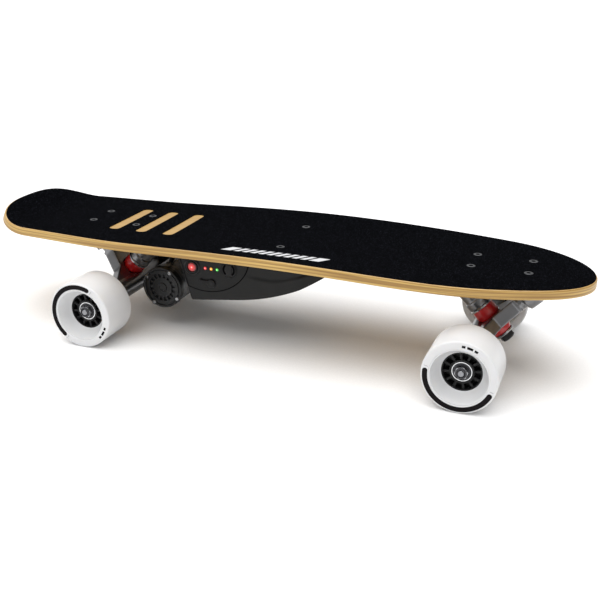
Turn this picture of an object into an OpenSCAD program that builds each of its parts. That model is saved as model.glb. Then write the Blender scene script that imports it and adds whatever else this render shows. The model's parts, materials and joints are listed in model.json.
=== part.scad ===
// Electric skateboard: cruiser deck with a kicktail, reverse-kingpin trucks,
// a belt drive on one rear wheel and a battery housing under the deck.
// Frame: +X to the nose, +Y to the rider's left, +Z up. The origin is on the
// floor, half way along the deck and half way across the wheels.

/* [Deck] */
// Front bolt pattern's centre to the tip of the nose
nose_over = 101; // [85:1:130]
// Distance between the centres of the two truck bolt patterns
pattern_gap = 480; // [400:1:600]
// Rear bolt pattern's centre to the end of the tail
tail_over = 150; // [130:1:170]
// Width of the deck at its widest
deck_w = 200; // [165:1:240]
// Width of the deck where the tail's round end starts
tail_w = 165; // [130:1:165]
// Thickness of the laminated deck
deck_t = 10.5; // [8.5:0.5:13]
// Distance of the widest place from the tip of the nose
wide_back = 291; // [260:1:320]
// Rise of the deck's edges above its middle, half way along
concave_h = 4; // [0:0.5:6]
// Height of the deck's long arch between the trucks
arch_h = 1.5; // [0:0.5:3]
// Drop of the nose in front of the front truck
nose_drop = 4; // [0:0.5:6]
// Angle of the kicktail
kick_angle = 27; // [15:1:30]
// Radius of the kicktail's bend
kick_r = 91; // [70:1:105]
// Level length that the kicktail takes up
kick_len = 61; // [56:1:72]
// Thickness of the grip tape
grip_t = 0.8; // [0.6:0.1:1.2]
// Bare wood left round the grip tape
grip_inset = 1.4; // [0.8:0.1:3]

/* [Grip slots] */
// Width of one slot, along the deck
slot_w = 14.5; // [8:0.5:20]
// Length of one slot, across the deck
slot_len = 88; // [60:1:110]
// Distance between slots
slot_pitch = 37; // [25:1:40]
// Distance of the first slot's middle in front of the rear bolt pattern
slot_start = 12.5; // [8:0.5:20]

/* [Trucks] */
// Bolt spacing along the deck
bolt_x = 61.9; // [50:0.1:70]
// Bolt spacing across the deck
bolt_y = 41.3; // [38:0.1:46]
// Diameter of a truck bolt
bolt_d = 5; // [4:0.5:6]
// Thickness of the riser pads
riser_t = 3; // [1:0.5:8]
// Baseplate's top face to the middle of the axle
truck_h = 67.2; // [62:0.1:72]
// Distance of the axle inboard of its bolt pattern
axle_back = 15.7; // [12:0.1:20]
// Axle to the hanger's ring, along the steering axis
ring_off = 17.7; // [16:0.1:22]
// Ring to the middle of the pivot cup, along the steering axis
pivot_off = 52; // [48:0.5:56]
// Width of the hanger between its two end faces
hanger_w = 186; // [170:1:200]
// Diameter of the hanger's axle tube
tube_d = 25; // [20:0.5:27]
// Length and width of a baseplate
plate_size = [94, 56]; // [50:1:110]
// Thickness of the baseplate's flat
plate_t = 6; // [4:0.5:8]
// Diameter of the kingpin
kingpin_d = 10; // [8:0.5:10]
// Height of the board-side bushing
bushing_h = 16; // [14:0.5:18]
// Height of the road-side bushing
cone_h = 10.5; // [8:0.5:15]
// Diameter of the bushings
bushing_d = 25; // [22:0.5:26]

/* [Wheels] */
// Diameter of a wheel
wheel_d = 80; // [70:1:97]
// Width of a wheel
wheel_w = 50; // [40:1:54]
// Diameter of the axle
axle_d = 8; // [7:0.5:10]
// Outside diameter of a wheel bearing
bearing_od = 22; // [20:0.5:24]
// Width of a wheel bearing
bearing_w = 7; // [6:0.5:8]
// Length of the spacer between a wheel's two bearings
spacer_len = 10; // [8:0.5:12]
// Outside diameter of the wheel's hard core
core_d = 43.2; // [40:0.2:48]
// Diameter of the recess at the wheel's side faces
recess_d = 63; // [56:1:68]
// Depth of the wheel's inner recess
inner_recess = 10; // [5:0.5:12]

/* [Belt drive] */
// Teeth on the wheel's pulley
wheel_teeth = 36; // [34:1:38]
// Teeth on the motor's pulley
motor_teeth = 15; // [14:1:18]
// Pitch of the belt's teeth
belt_pitch = 5; // [4.5:0.5:5]
// Width of the belt
belt_w = 12; // [9:1:13]
// Distance from the axle to the motor's shaft
drive_gap = 65.7; // [62:0.1:72]
// Angle of the motor above the level of the axle
drive_angle = 13; // [8:1:20]
// Diameter of the motor
motor_d = 50.5; // [44:0.5:54]
// Length of the motor's can
motor_len = 98; // [70:1:100]
// Diameter of the motor's shaft
shaft_d = 8; // [6:0.5:10]

/* [Battery housing] */
// Depth of the housing at its back end
pod_depth = 59.5; // [52:0.5:62]
// Width of the housing
pod_w = 130; // [120:1:150]
// Thickness of the housing's walls
pod_wall = 3; // [2:0.5:4]
// Rear lower corner, behind the middle of the deck
pod_back = 87; // [80:1:92]
// Lean of the housing's back, over its height
pod_lean = 18; // [12:1:20]
// Length of the housing's nearly level bottom
pod_flat = 59; // [50:1:66]
// Slope of the housing's nearly level bottom
pod_slope = 7.5; // [3:0.1:9]
// Radius of the housing's bow
bow_r = 254; // [190:1:280]
// Height of the upright lip at the front of the bow
bow_lip = 8; // [6:0.5:12]

/* [Controls] */
// Place of the power button along the deck and under the housing's top
button_at = [-85, 17]; // [-90:1:30]
// Diameter of the power button's cap
button_d = 15; // [12:0.5:18]
// Travel of the power button
button_travel = 1.5; // [1:0.1:2]
// Place of the first indicator light along the deck and under the top
led_at = [-68, 16.5]; // [-75:1:30]
// Distance between indicator lights
led_pitch = 7.7; // [6:0.1:8]
// Place of the charge socket along the deck and under the housing's top
port_at = [-37, 14.5]; // [-45:1:30]
// Diameter of the charge socket's hole
port_d = 11; // [8:0.5:12]
// Diameter of the charge socket's cap
port_cap_d = 18; // [15:0.5:19]

/* [Hidden] */

// Clearances
run_gap = 0.04;     // radial, shaft in a bearing or a bush
side_gap = 0.1;     // between faces that turn past each other
seat_gap = 0.05;    // radial, a fixed pin in its hole
fit_gap = 0.3;      // between fixed pieces that must not touch
bore_fn = 48;
round_fn = 96;

// Deck
deck_len = nose_over + pattern_gap + tail_over;
nose_x = deck_len / 2;
tail_x = -deck_len / 2;
front_x = nose_x - nose_over;
rear_x = tail_x + tail_over;
mid_x = (front_x + rear_x) / 2;
wide_x = nose_x - wide_back;
kick_x = tail_x + kick_len;
kick_arc = kick_r * kick_angle * PI / 180;
kick_flat = (kick_len - (kick_r + deck_t) * sin(kick_angle)) / cos(kick_angle);
tail_u = kick_x - kick_arc - kick_flat;
round_len = kick_x - tail_u;
tip_half = 4;
nose_power = 3.2;
tail_power = 2.6;
mat_cols = 4;
nose_steps = 16;
side_steps = 14;
tail_steps = 12;
// Stations run along the deck's own length, closer together at both tips.
stations = concat(
    [for (i = [0 : tail_steps - 1]) kick_x - round_len * cos(90 * i / tail_steps)],
    [for (i = [0 : side_steps - 1]) kick_x + (wide_x - kick_x) * i / side_steps],
    [for (i = [0 : nose_steps]) wide_x + wide_back * sin(90 * i / nose_steps)]
);

// Trucks
wheel_r = wheel_d / 2;
axle_z = wheel_r;
deck_z = axle_z + truck_h + riser_t;    // underside of the deck at the bolts
top_z = deck_z + deck_t;
steer_angle = 45;
ring_x = -axle_back + ring_off * cos(steer_angle);
ring_z = -truck_h + ring_off * sin(steer_angle);
slab_t = 16;
seat_in = 1.5;
seat_z = slab_t / 2 - seat_in;
cup_t = 1.5;
boss_z = seat_z + bushing_h + cup_t;
boss_d = 27;
head_z = boss_z + 20;
head_h = 7;
head_d = 16;
nut_h = 6.5;
nut_top = -(seat_z + cone_h + cup_t);
kingpin_end = nut_top - nut_h - 1;
pin_r = 7;
cup_wall = 3;
cup_depth = 15;
locknut_h = 5;
wing_half = 50;

// Wheels: places along the axle, measured from the middle of the board
speed_washer_t = 1;
hub_in = hanger_w / 2 + speed_washer_t + side_gap;
hub_out = hub_in + 2 * bearing_w + spacer_len;
wheel_in = hub_in - inner_recess;
wheel_mid = wheel_in + wheel_w / 2;
axle_nut_h = 8;
axle_half = hub_out + side_gap + speed_washer_t + axle_nut_h + 1.5;
front_axle_x = front_x - axle_back;
rear_axle_x = rear_x + axle_back;
core_in = hub_in - wheel_mid;           // in the wheel's own frame
core_out = hub_out - wheel_mid;
pocket_count = 12;

// Belt drive
wheel_pulley_r = wheel_teeth * belt_pitch / (2 * PI) - 0.57;
motor_pulley_r = motor_teeth * belt_pitch / (2 * PI) - 0.57;
flange_t = 1.5;
flange_h = 2.4;
belt_gap = 0.3;
belt_t = 1.8;
belt_out = wheel_in - 2 - flange_t - 0.5;
belt_in = belt_out - belt_w;
pulley_in = belt_in - 0.5 - flange_t;
mount_t = 7;
mount_out = pulley_in - 4;
mount_in = mount_out - mount_t;
motor_x = rear_axle_x + drive_gap * cos(drive_angle);
motor_z = axle_z + drive_gap * sin(drive_angle);
motor_r = motor_d / 2;
can_wall = 3;
cap_len = 8;
cap_r = motor_r + 1;
can_in = mount_in - motor_len;
pulley_screw_r = (core_d / 2 + tube_d / 2 + 1.5) / 2;

// Battery housing
pod_top = deck_z;
pod_x0 = -pod_back;
pod_z0 = pod_top - pod_depth;
bow_x = pod_x0 + pod_flat;
bow_z = pod_z0 + pod_flat * tan(pod_slope);
pod_side = pod_w / 2;
panel_t = 3;
panel_y = -pod_side;
boss_r = 6;
pod_bolt_x = 18;
pod_bolt_y = 42.5;
pod_screw_at = [pod_x0 + 2, pod_side - 12];
pod_screw_len = 20;
cell_d = 18.4;
cell_len = 65;
cell_gap = 0.4;
cell_low = pod_top - 5 - cell_d;
cell_x0 = pod_x0 + 28;
cell_room = bow_x - bow_r * sin(pod_slope) - cell_x0 + cell_d / 2
    + sqrt(pow(bow_r - pod_wall, 2) - pow(bow_z + bow_r * cos(pod_slope) - cell_low + 1, 2));
cells = floor(cell_room / (cell_d + cell_gap));
board_z = bow_z + pod_wall + 2;
wire_r = 1.6;
wires = 3;
wire_pitch = 4.2;
wire_bend = 12;
wire_y = can_in + 16;
wire_exit = 1;
wire_z = motor_z + motor_r + wire_exit + fit_gap + wire_bend;

// ---- Deck surface -------------------------------------------------------

// Smooth bump, 1 at the middle of the deck and 0 at both bolt patterns
function bump(u) = let (t = min(1, abs(u - mid_x) / (pattern_gap / 2))) pow(1 - t * t, 2);

// Middle line of the deck's top, as [x, z, lean]
function line_at(u) =
    u > front_x ? [u, -nose_drop * pow((u - front_x) / nose_over, 2), 0] :
    u > kick_x ? [u, arch_h * bump(u), 0] :
    u > kick_x - kick_arc ? let (a = (kick_x - u) / kick_r * 180 / PI)
        [kick_x - kick_r * sin(a), kick_r * (1 - cos(a)), a] :
    let (s = kick_x - kick_arc - u)
        [kick_x - kick_r * sin(kick_angle) - s * cos(kick_angle),
         kick_r * (1 - cos(kick_angle)) + s * sin(kick_angle), kick_angle];

// Half the deck's width at a station
function half_at(u) = max(tip_half,
    u > wide_x ? deck_w / 2 * sqrt(max(0, 1 - pow((u - wide_x) / wide_back, nose_power))) :
    let (side = deck_w / 2 - (deck_w - tail_w) / 2
            * pow((wide_x - max(u, kick_x)) / (wide_x - kick_x), 2))
    u > kick_x ? side :
        side * pow(max(0, 1 - pow((kick_x - u) / round_len, tail_power)), 1 / tail_power));

// A point of the deck at a station, a distance across, and a depth under the top
function deck_point(u, y, depth) =
    let (p = line_at(u), lift = concave_h * bump(u) * pow(y / half_at(u), 2) - depth)
    [p[0] + lift * sin(p[2]), y, top_z + p[1] + lift * cos(p[2])];

// Places across the deck at a station, with the outer pair at the edges
function across(u, edges) =
    let (inner = half_at(u) - grip_inset,
         mid = [for (k = [-mat_cols : mat_cols]) inner * k / mat_cols])
    edges ? concat([-half_at(u)], mid, [half_at(u)]) : mid;

// Closed slab that follows the deck's top between two depths
module slab(us, edges, high, low) {
    rows = len(us);
    cols = len(across(us[0], edges));
    pts = [for (d = [high, low]) for (u = us) for (y = across(u, edges))
        deck_point(u, y, d)];
    under = rows * cols;
    faces = concat(
        [for (i = [0 : rows - 2]) for (j = [0 : cols - 2]) let (a = i * cols + j)
            each [[a, a + 1, a + cols + 1], [a, a + cols + 1, a + cols]]],
        [for (i = [0 : rows - 2]) for (j = [0 : cols - 2]) let (a = under + i * cols + j)
            each [[a, a + cols + 1, a + 1], [a, a + cols, a + cols + 1]]],
        [for (i = [0 : rows - 2]) let (a = i * cols)
            each [[a, a + cols, under + a], [a + cols, under + a + cols, under + a]]],
        [for (i = [0 : rows - 2]) let (a = i * cols + cols - 1)
            each [[a, under + a, a + cols], [a + cols, under + a, under + a + cols]]],
        [for (j = [0 : cols - 2]) each [[j, under + j, j + 1], [j + 1, under + j, under + j + 1]]],
        [for (j = [0 : cols - 2]) let (a = (rows - 1) * cols + j)
            each [[a, a + 1, under + a], [a + 1, under + a + 1, under + a]]]
    );
    polyhedron(points = pts, faces = faces);
}

module deck_blank() slab(stations, true, 0, deck_t);

// ---- Shared pieces ------------------------------------------------------

module ring(r_out, r_in, h) {
    difference() {
        cylinder(r = r_out, h = h, $fn = round_fn);
        translate([0, 0, -1]) cylinder(r = r_in, h = h + 2, $fn = bore_fn);
    }
}

// Hexagonal nut, standing on z = 0
module hex_nut(across_flats, h, r_in) {
    difference() {
        cylinder(d = across_flats / cos(30), h = h, $fn = 6);
        translate([0, 0, -1]) cylinder(r = r_in, h = h + 2, $fn = bore_fn);
    }
}

// Puts children at the four bolts of one pattern
module at_bolts(x0) {
    for (x = [-bolt_x, bolt_x], y = [-bolt_y, bolt_y])
        translate([x0 + x / 2, y / 2, 0]) children();
}

// Countersunk bolt with its head flush at z = 0, hanging down
module flush_bolt(d, len) {
    translate([0, 0, -len]) cylinder(d = d, h = len, $fn = bore_fn);
    translate([0, 0, -0.8]) cylinder(d = 2 * d, h = 0.8, $fn = bore_fn);
    translate([0, 0, -0.8 - d / 2]) cylinder(d1 = d, d2 = 2 * d, h = d / 2, $fn = bore_fn);
}

// The hole that such a bolt needs
module flush_hole(d, len) {
    translate([0, 0, -len]) cylinder(d = d + 2 * seat_gap, h = len + 5, $fn = bore_fn);
    translate([0, 0, -0.8]) cylinder(d = 2 * d + 2 * seat_gap, h = 5, $fn = bore_fn);
    translate([0, 0, -0.8 - d / 2])
        cylinder(d1 = d + 2 * seat_gap, d2 = 2 * d + 2 * seat_gap, h = d / 2, $fn = bore_fn);
}

module pod_bolt_places() {
    for (s = [-1, 1]) translate([pod_bolt_x, s * pod_bolt_y, 0]) children();
}

module pod_screw_places() {
    for (s = [-1, 1]) translate([pod_screw_at[0], s * pod_screw_at[1], 0]) children();
}

// ---- Deck ---------------------------------------------------------------

bolt_head_z = top_z + grip_t;
pod_bolt_z = top_z + arch_h + grip_t + 0.6;

module deck_holes() {
    for (x0 = [front_x, rear_x])
        at_bolts(x0) translate([0, 0, bolt_head_z]) flush_hole(bolt_d, deck_t + 20);
    pod_bolt_places() translate([0, 0, pod_bolt_z]) flush_hole(bolt_d, deck_t + 20);
}

module deck() {
    color("burlywood") difference() {
        deck_blank();
        deck_holes();
        pod_screw_places() translate([0, 0, deck_z - 5])
            cylinder(r = 2 + seat_gap, h = 12, $fn = bore_fn);
    }
}

module slot_shape() {
    corner = slot_w * 0.42;
    square([slot_w - 2 * corner, slot_len], center = true);
    square([slot_w, slot_len - 2 * corner], center = true);
    for (x = [-1, 1], y = [-1, 1])
        translate([x * (slot_w / 2 - corner), y * (slot_len / 2 - corner)])
            circle(r = corner, $fn = 32);
}

module grip_tape() {
    inner = [for (i = [1 : len(stations) - 2]) stations[i]];
    color("dimgray") difference() {
        slab(inner, false, -grip_t, 0);
        deck_holes();
        for (i = [0 : 2])
            translate([rear_x + slot_start + slot_pitch * i, 0, top_z - 5])
                linear_extrude(20) slot_shape();
    }
}

// ---- Truck hardware -----------------------------------------------------

bolt_len = grip_t + deck_t + riser_t + plate_t + locknut_h + 2;

module truck_bolts() {
    color("gray") for (x0 = [front_x, rear_x])
        at_bolts(x0) translate([0, 0, bolt_head_z]) flush_bolt(bolt_d, bolt_len);
}

module truck_locknuts() {
    z = deck_z - riser_t - plate_t - locknut_h;
    color("silver") for (x0 = [front_x, rear_x])
        at_bolts(x0) translate([0, 0, z]) hex_nut(8, locknut_h, bolt_d / 2 + seat_gap);
}

module rounded_plate(size, corner, h) {
    linear_extrude(h) {
        square([size[0] - 2 * corner, size[1]], center = true);
        square([size[0], size[1] - 2 * corner], center = true);
        for (x = [-1, 1], y = [-1, 1])
            translate([x * (size[0] / 2 - corner), y * (size[1] / 2 - corner)])
                circle(r = corner, $fn = 48);
    }
}

module riser_pads() {
    color("black") for (x0 = [front_x, rear_x])
        difference() {
            translate([x0, 0, deck_z - riser_t]) rounded_plate(plate_size, 8, riser_t + 3);
            deck_blank();
            at_bolts(x0) translate([0, 0, deck_z - 20])
                cylinder(r = bolt_d / 2 + seat_gap, h = 30, $fn = bore_fn);
        }
}

// Places a truck: its own +X points away from the middle of the board, z = 0 is
// the baseplate's top face.
module truck_frame(end) {
    x0 = end > 0 ? front_x : rear_x;
    translate([x0, 0, deck_z - riser_t])
        if (end > 0) children();
        else mirror([1, 0, 0]) children();
}

// The hanger's frame in a truck: x runs up the steering axis to the pivot, z up
// the kingpin towards the deck.
module hanger_frame() {
    translate([ring_x, 0, ring_z]) rotate([0, -steer_angle, 0]) children();
}

module along_x(x) {
    translate([x, 0, 0]) rotate([0, 90, 0]) children();
}

cup_start = pivot_off - cup_depth / 2;

module baseplate() {
    difference() {
        union() {
            translate([0, 0, -plate_t]) rounded_plate(plate_size, 8, plate_t);
            // Kingpin boss, with its web up to the plate
            hull() {
                hanger_frame() translate([0, 0, boss_z + 5])
                    cylinder(d = boss_d - 3, h = head_z + head_h - boss_z - 5, $fn = 32);
                translate([-plate_size[0] / 2 + 8, -10, -plate_t + 1]) cube([34, 20, 2]);
            }
            hanger_frame() translate([0, 0, boss_z])
                cylinder(d = boss_d, h = 9, $fn = round_fn);
            // Pivot housing
            hull() {
                hanger_frame() along_x(cup_start)
                    cylinder(r = pin_r + cup_wall + 4, h = cup_depth - 1, $fn = 32);
                translate([plate_size[0] / 2 - 28, -11, -plate_t + 1]) cube([24, 22, 2]);
            }
        }
        translate([-100, -50, 0]) cube([200, 100, 60]);
        hanger_frame() {
            translate([0, 0, boss_z - 1])
                cylinder(r = kingpin_d / 2 + seat_gap, h = 60, $fn = bore_fn);
            translate([0, 0, head_z]) cylinder(d = head_d + 1, h = 60, $fn = bore_fn);
            along_x(cup_start - 20)
                cylinder(r = pin_r + cup_wall + seat_gap, h = 20 + cup_depth - 2, $fn = bore_fn);
        }
        for (x = [-bolt_x, bolt_x], y = [-bolt_y, bolt_y])
            translate([x / 2, y / 2, -40]) {
                translate([0, 0, 40 - plate_t - 1])
                    cylinder(r = bolt_d / 2 + seat_gap, h = 20, $fn = bore_fn);
                // Room for a spanner round each locknut
                translate([0, 0, 10]) cylinder(r = 5.5, h = 30 - plate_t, $fn = bore_fn);
            }
    }
}

module pivot_cups() {
    color("white") for (end = [-1, 1]) truck_frame(end) hanger_frame() difference() {
        along_x(cup_start) cylinder(r = pin_r + cup_wall, h = cup_depth - 2, $fn = round_fn);
        along_x(cup_start - 1)
            cylinder(r = pin_r + run_gap, h = cup_depth - 2, $fn = round_fn);
    }
}

module kingpin() {
    translate([0, 0, kingpin_end]) cylinder(d = kingpin_d, h = head_z - kingpin_end, $fn = bore_fn);
    translate([0, 0, head_z]) cylinder(d = head_d, h = head_h, $fn = 6);
}

module kingpin_nuts() {
    color("dimgray") for (end = [-1, 1]) truck_frame(end) hanger_frame()
        translate([0, 0, nut_top - nut_h]) hex_nut(15, nut_h, kingpin_d / 2 + seat_gap);
}

module cup_washers() {
    color("silver") for (end = [-1, 1]) truck_frame(end) hanger_frame() {
        translate([0, 0, boss_z - cup_t]) ring(bushing_d / 2 + 1.5, kingpin_d / 2 + seat_gap, cup_t);
        translate([0, 0, nut_top]) ring(bushing_d / 2, kingpin_d / 2 + seat_gap, cup_t);
    }
}

module board_bushing() {
    translate([0, 0, seat_z]) ring(bushing_d / 2, kingpin_d / 2 + 0.2, bushing_h);
}

module road_bushing() {
    translate([0, 0, -seat_z - cone_h]) difference() {
        cylinder(r1 = bushing_d / 2 - 2.5, r2 = bushing_d / 2, h = cone_h, $fn = round_fn);
        translate([0, 0, -1])
            cylinder(r = kingpin_d / 2 + 0.2, h = cone_h + 2, $fn = bore_fn);
    }
}

// Cast hanger: axle tube, ring for the bushings, and pivot nose
module hanger() {
    neck = 9;
    tip = cup_start + cup_depth - 4;
    difference() {
        union() {
            cylinder(d = bushing_d + 13, h = slab_t, center = true, $fn = round_fn);
            linear_extrude(slab_t, center = true)
                polygon([[-ring_off, -wing_half], [-ring_off + 9, -wing_half],
                    [8, -20], [cup_start - 12, -neck], [cup_start - 8, -neck],
                    [cup_start - 8, neck], [cup_start - 12, neck], [8, 20],
                    [-ring_off + 9, wing_half], [-ring_off, wing_half]]);
            along_x(cup_start - 14) cylinder(r = neck, h = 12.5, $fn = round_fn);
            along_x(cup_start - 2) cylinder(r = pin_r, h = tip - cup_start + 2, $fn = round_fn);
            translate([-ring_off, 0, 0]) rotate([90, 0, 0]) {
                cylinder(d = tube_d, h = 2 * (hub_in - 11), center = true, $fn = round_fn);
                cylinder(d = axle_d + 9, h = hanger_w, center = true, $fn = round_fn);
            }
        }
        cylinder(r = kingpin_d / 2 + 3, h = 2 * slab_t, center = true, $fn = bore_fn);
        for (s = [-1, 1]) translate([0, 0, s * (seat_z + 10)])
            cylinder(r = bushing_d / 2 + 1, h = 20, center = true, $fn = bore_fn);
        translate([-ring_off, 0, 0]) rotate([90, 0, 0])
            cylinder(d = axle_d, h = 2 * hanger_w, center = true, $fn = bore_fn);
    }
}

module in_truck(end) {
    truck_frame(end) hanger_frame() children();
}

// ---- Axle pieces, along Y -----------------------------------------------

// Puts children at one axle with z along +Y
module at_axle(x) {
    translate([x, 0, axle_z]) rotate([-90, 0, 0]) children();
}

module axle(x) {
    color("silver") at_axle(x)
        cylinder(d = axle_d, h = 2 * axle_half, center = true, $fn = bore_fn);
}

module axle_nuts(x) {
    start = hub_out + side_gap + speed_washer_t;
    color("silver") at_axle(x) for (s = [0, 1]) mirror([0, 0, s])
        translate([0, 0, start]) hex_nut(13, axle_nut_h, axle_d / 2 + seat_gap);
}

module speed_washers(x) {
    color("silver") at_axle(x) for (s = [0, 1]) mirror([0, 0, s]) {
        translate([0, 0, hanger_w / 2]) ring(axle_d / 2 + 2.5, axle_d / 2 + seat_gap, speed_washer_t);
        translate([0, 0, hub_out + side_gap])
            ring(axle_d / 2 + 2.5, axle_d / 2 + seat_gap, speed_washer_t);
    }
}

module bearing_spacers(x) {
    color("silver") at_axle(x) for (s = [0, 1]) mirror([0, 0, s])
        translate([0, 0, hub_in + bearing_w + side_gap])
            ring(axle_d / 2 + 2, axle_d / 2 + seat_gap, spacer_len - 2 * side_gap);
}

// ---- Wheels, in their own frame: z = 0 at mid-width, +Z outboard ---------

module at_wheel(x, side) {
    translate([x, side * wheel_mid, axle_z]) rotate([-90 * side, 0, 0]) children();
}

// Points of a quarter round on the tyre's outer edge
function edge_round(z, dz, r) = [for (a = [0 : 15 : 90])
    [wheel_r - r + r * (dz > 0 ? cos(a) : sin(a)), z - dz * r + dz * r * (dz > 0 ? sin(a) : cos(a))]];

module tyre() {
    half = wheel_w / 2;
    edge = 3;
    color("whitesmoke") rotate_extrude($fn = round_fn)
        polygon(concat(
            [[core_d / 2, core_in], [recess_d / 2, -half]],
            edge_round(-half, -1, edge),
            edge_round(half, 1, edge),
            [[recess_d / 2, half], [core_d / 2, core_out]]));
}

module core(driven) {
    pocket_r = (core_d / 2 + bearing_od / 2) / 2 + 0.5;
    color("black") difference() {
        translate([0, 0, core_in]) cylinder(d = core_d, h = core_out - core_in, $fn = round_fn);
        translate([0, 0, core_in - 1])
            cylinder(r = axle_d / 2 + 4, h = core_out - core_in + 2, $fn = bore_fn);
        translate([0, 0, core_in - 1]) cylinder(d = bearing_od, h = bearing_w + 1, $fn = bore_fn);
        translate([0, 0, core_out - bearing_w])
            cylinder(d = bearing_od, h = bearing_w + 1, $fn = bore_fn);
        for (i = [0 : pocket_count - 1]) rotate([0, 0, 360 / pocket_count * i])
            translate([pocket_r, 0, core_out - 9]) cylinder(r = 2.8, h = 10, $fn = 24);
        if (driven)
            for (i = [0 : 5]) rotate([0, 0, 60 * i]) translate([pulley_screw_r, 0, core_in - 1])
                cylinder(r = 1.5, h = 10, $fn = 24);
    }
}

// The two bearings of one wheel, each with a shield groove
module bearings() {
    color("lightgray") for (z = [core_in, core_out - bearing_w])
        translate([0, 0, z]) difference() {
            ring(bearing_od / 2, axle_d / 2 + run_gap, bearing_w);
            for (s = [-1, bearing_w - 0.6]) translate([0, 0, s])
                ring(bearing_od / 2 - 1.8, axle_d / 2 + 1.8, 1.6);
        }
}

// ---- Belt drive ---------------------------------------------------------

// Toothed pulley between two flanges, standing on z = 0
module pulley(teeth, r, r_in, h) {
    groove_r = 1.4;
    sink = flange_t / 2;
    difference() {
        union() {
            translate([0, 0, sink]) linear_extrude(h - 2 * sink) difference() {
                circle(r = r, $fn = round_fn);
                for (i = [0 : teeth - 1]) rotate(360 / teeth * i)
                    translate([r + 0.2, 0]) circle(r = groove_r, $fn = 16);
            }
            for (z = [0, h - flange_t]) translate([0, 0, z])
                cylinder(r = r + flange_h, h = flange_t, $fn = round_fn);
        }
        translate([0, 0, -1]) cylinder(r = r_in, h = h + 2, $fn = bore_fn);
    }
}

pulley_h = belt_w + 1 + 2 * flange_t;

module wheel_pulley() {
    inner_r = tube_d / 2 + 1.5;
    hub_h = hub_in - pulley_in;
    color("dimgray") translate([rear_axle_x, 0, axle_z]) rotate([-90, 0, 0])
        translate([0, 0, pulley_in]) difference() {
            union() {
                pulley(wheel_teeth, wheel_pulley_r, inner_r, pulley_h);
                translate([0, 0, 2]) ring(core_d / 2 - 0.5, inner_r, hub_h - 2);
            }
            for (i = [0 : 5]) rotate([0, 0, 60 * i]) translate([pulley_screw_r, 0, 0]) {
                translate([0, 0, -1]) cylinder(r = 3, h = pulley_h - 3, $fn = bore_fn);
                translate([0, 0, 1]) cylinder(r = 1.6, h = hub_h + 2, $fn = 24);
            }
        }
}

module pulley_screws() {
    start = pulley_in + pulley_h - 4;
    color("silver") translate([rear_axle_x, 0, axle_z]) rotate([-90, 0, 0])
        for (i = [0 : 5]) rotate([0, 0, 60 * i]) translate([pulley_screw_r, 0, start]) {
            cylinder(r = 1.45, h = hub_in - start + 7, $fn = 24);
            translate([0, 0, -3]) cylinder(r = 2.8, h = 3, $fn = bore_fn);
        }
}

// Puts children on the motor's shaft line with z along +Y
module at_motor() {
    translate([motor_x, 0, motor_z]) rotate([-90, 0, 0]) children();
}

module belt_shape(grow) {
    hull() {
        translate([rear_axle_x, axle_z]) circle(r = wheel_pulley_r + grow, $fn = 72);
        translate([motor_x, motor_z]) circle(r = motor_pulley_r + grow, $fn = 48);
    }
}

module drive_belt() {
    color("black") translate([0, belt_out, 0]) rotate([90, 0, 0]) linear_extrude(belt_w)
        difference() {
            belt_shape(belt_gap + belt_t);
            belt_shape(belt_gap);
        }
}

module motor_pulley() {
    color("silver") at_motor() translate([0, 0, pulley_in])
        pulley(motor_teeth, motor_pulley_r, shaft_d / 2, pulley_h);
}

shaft_start = can_in - cap_len + 3 + fit_gap;

module motor_rotor() {
    color("gray") at_motor() {
        translate([0, 0, shaft_start])
            cylinder(d = shaft_d, h = pulley_in + pulley_h + 2 - shaft_start, $fn = bore_fn);
        translate([0, 0, can_in + 10])
            ring(motor_r - can_wall - 3, shaft_d / 2, motor_len - 22);
    }
}

module motor_can() {
    color("gray") at_motor() translate([0, 0, can_in]) difference() {
        union() {
            cylinder(r = motor_r, h = motor_len, $fn = round_fn);
            // Outlet block for the leads, on top of the can
            translate([-4, -motor_r - wire_exit, wire_y - can_in - 4])
                cube([8, 10, wire_pitch * (wires - 1) + 8]);
        }
        translate([0, 0, -1]) cylinder(r = motor_r - can_wall, h = motor_len - 3, $fn = round_fn);
        translate([0, 0, -2]) cylinder(d = shaft_d + 2 * run_gap, h = motor_len + 5, $fn = bore_fn);
        for (i = [0 : 3]) rotate([0, 0, 45 + 90 * i]) translate([motor_r * 0.6, 0, motor_len - 8])
            cylinder(r = 1.5, h = 10, $fn = 24);
    }
}

vent_count = 20;

module motor_end_cap() {
    color("black") at_motor() translate([0, 0, can_in - cap_len]) difference() {
        union() {
            cylinder(r = cap_r, h = cap_len, $fn = round_fn);
            cylinder(r = motor_r - can_wall - 0.1, h = cap_len + 3, $fn = round_fn);
        }
        translate([0, 0, 3]) cylinder(d = shaft_d + 2 * run_gap, h = 20, $fn = bore_fn);
        translate([0, 0, cap_len - 1]) cylinder(r = motor_r - can_wall - 3, h = 10, $fn = bore_fn);
        for (i = [0 : vent_count - 1]) rotate([0, 0, 360 / vent_count * i])
            translate([cap_r * 0.66, -0.9, -1]) cube([cap_r * 0.2, 1.8, 5]);
        for (i = [0 : 3]) rotate([0, 0, 45 + 90 * i]) translate([cap_r * 0.48, 0, -1])
            cylinder(r = 1.6, h = 5, $fn = 24);
    }
}

module mount_outline() {
    hull() {
        translate([rear_axle_x, axle_z]) circle(r = tube_d / 2 + 7, $fn = 72);
        translate([motor_x, motor_z]) circle(r = motor_r + 1, $fn = 96);
    }
}

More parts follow.
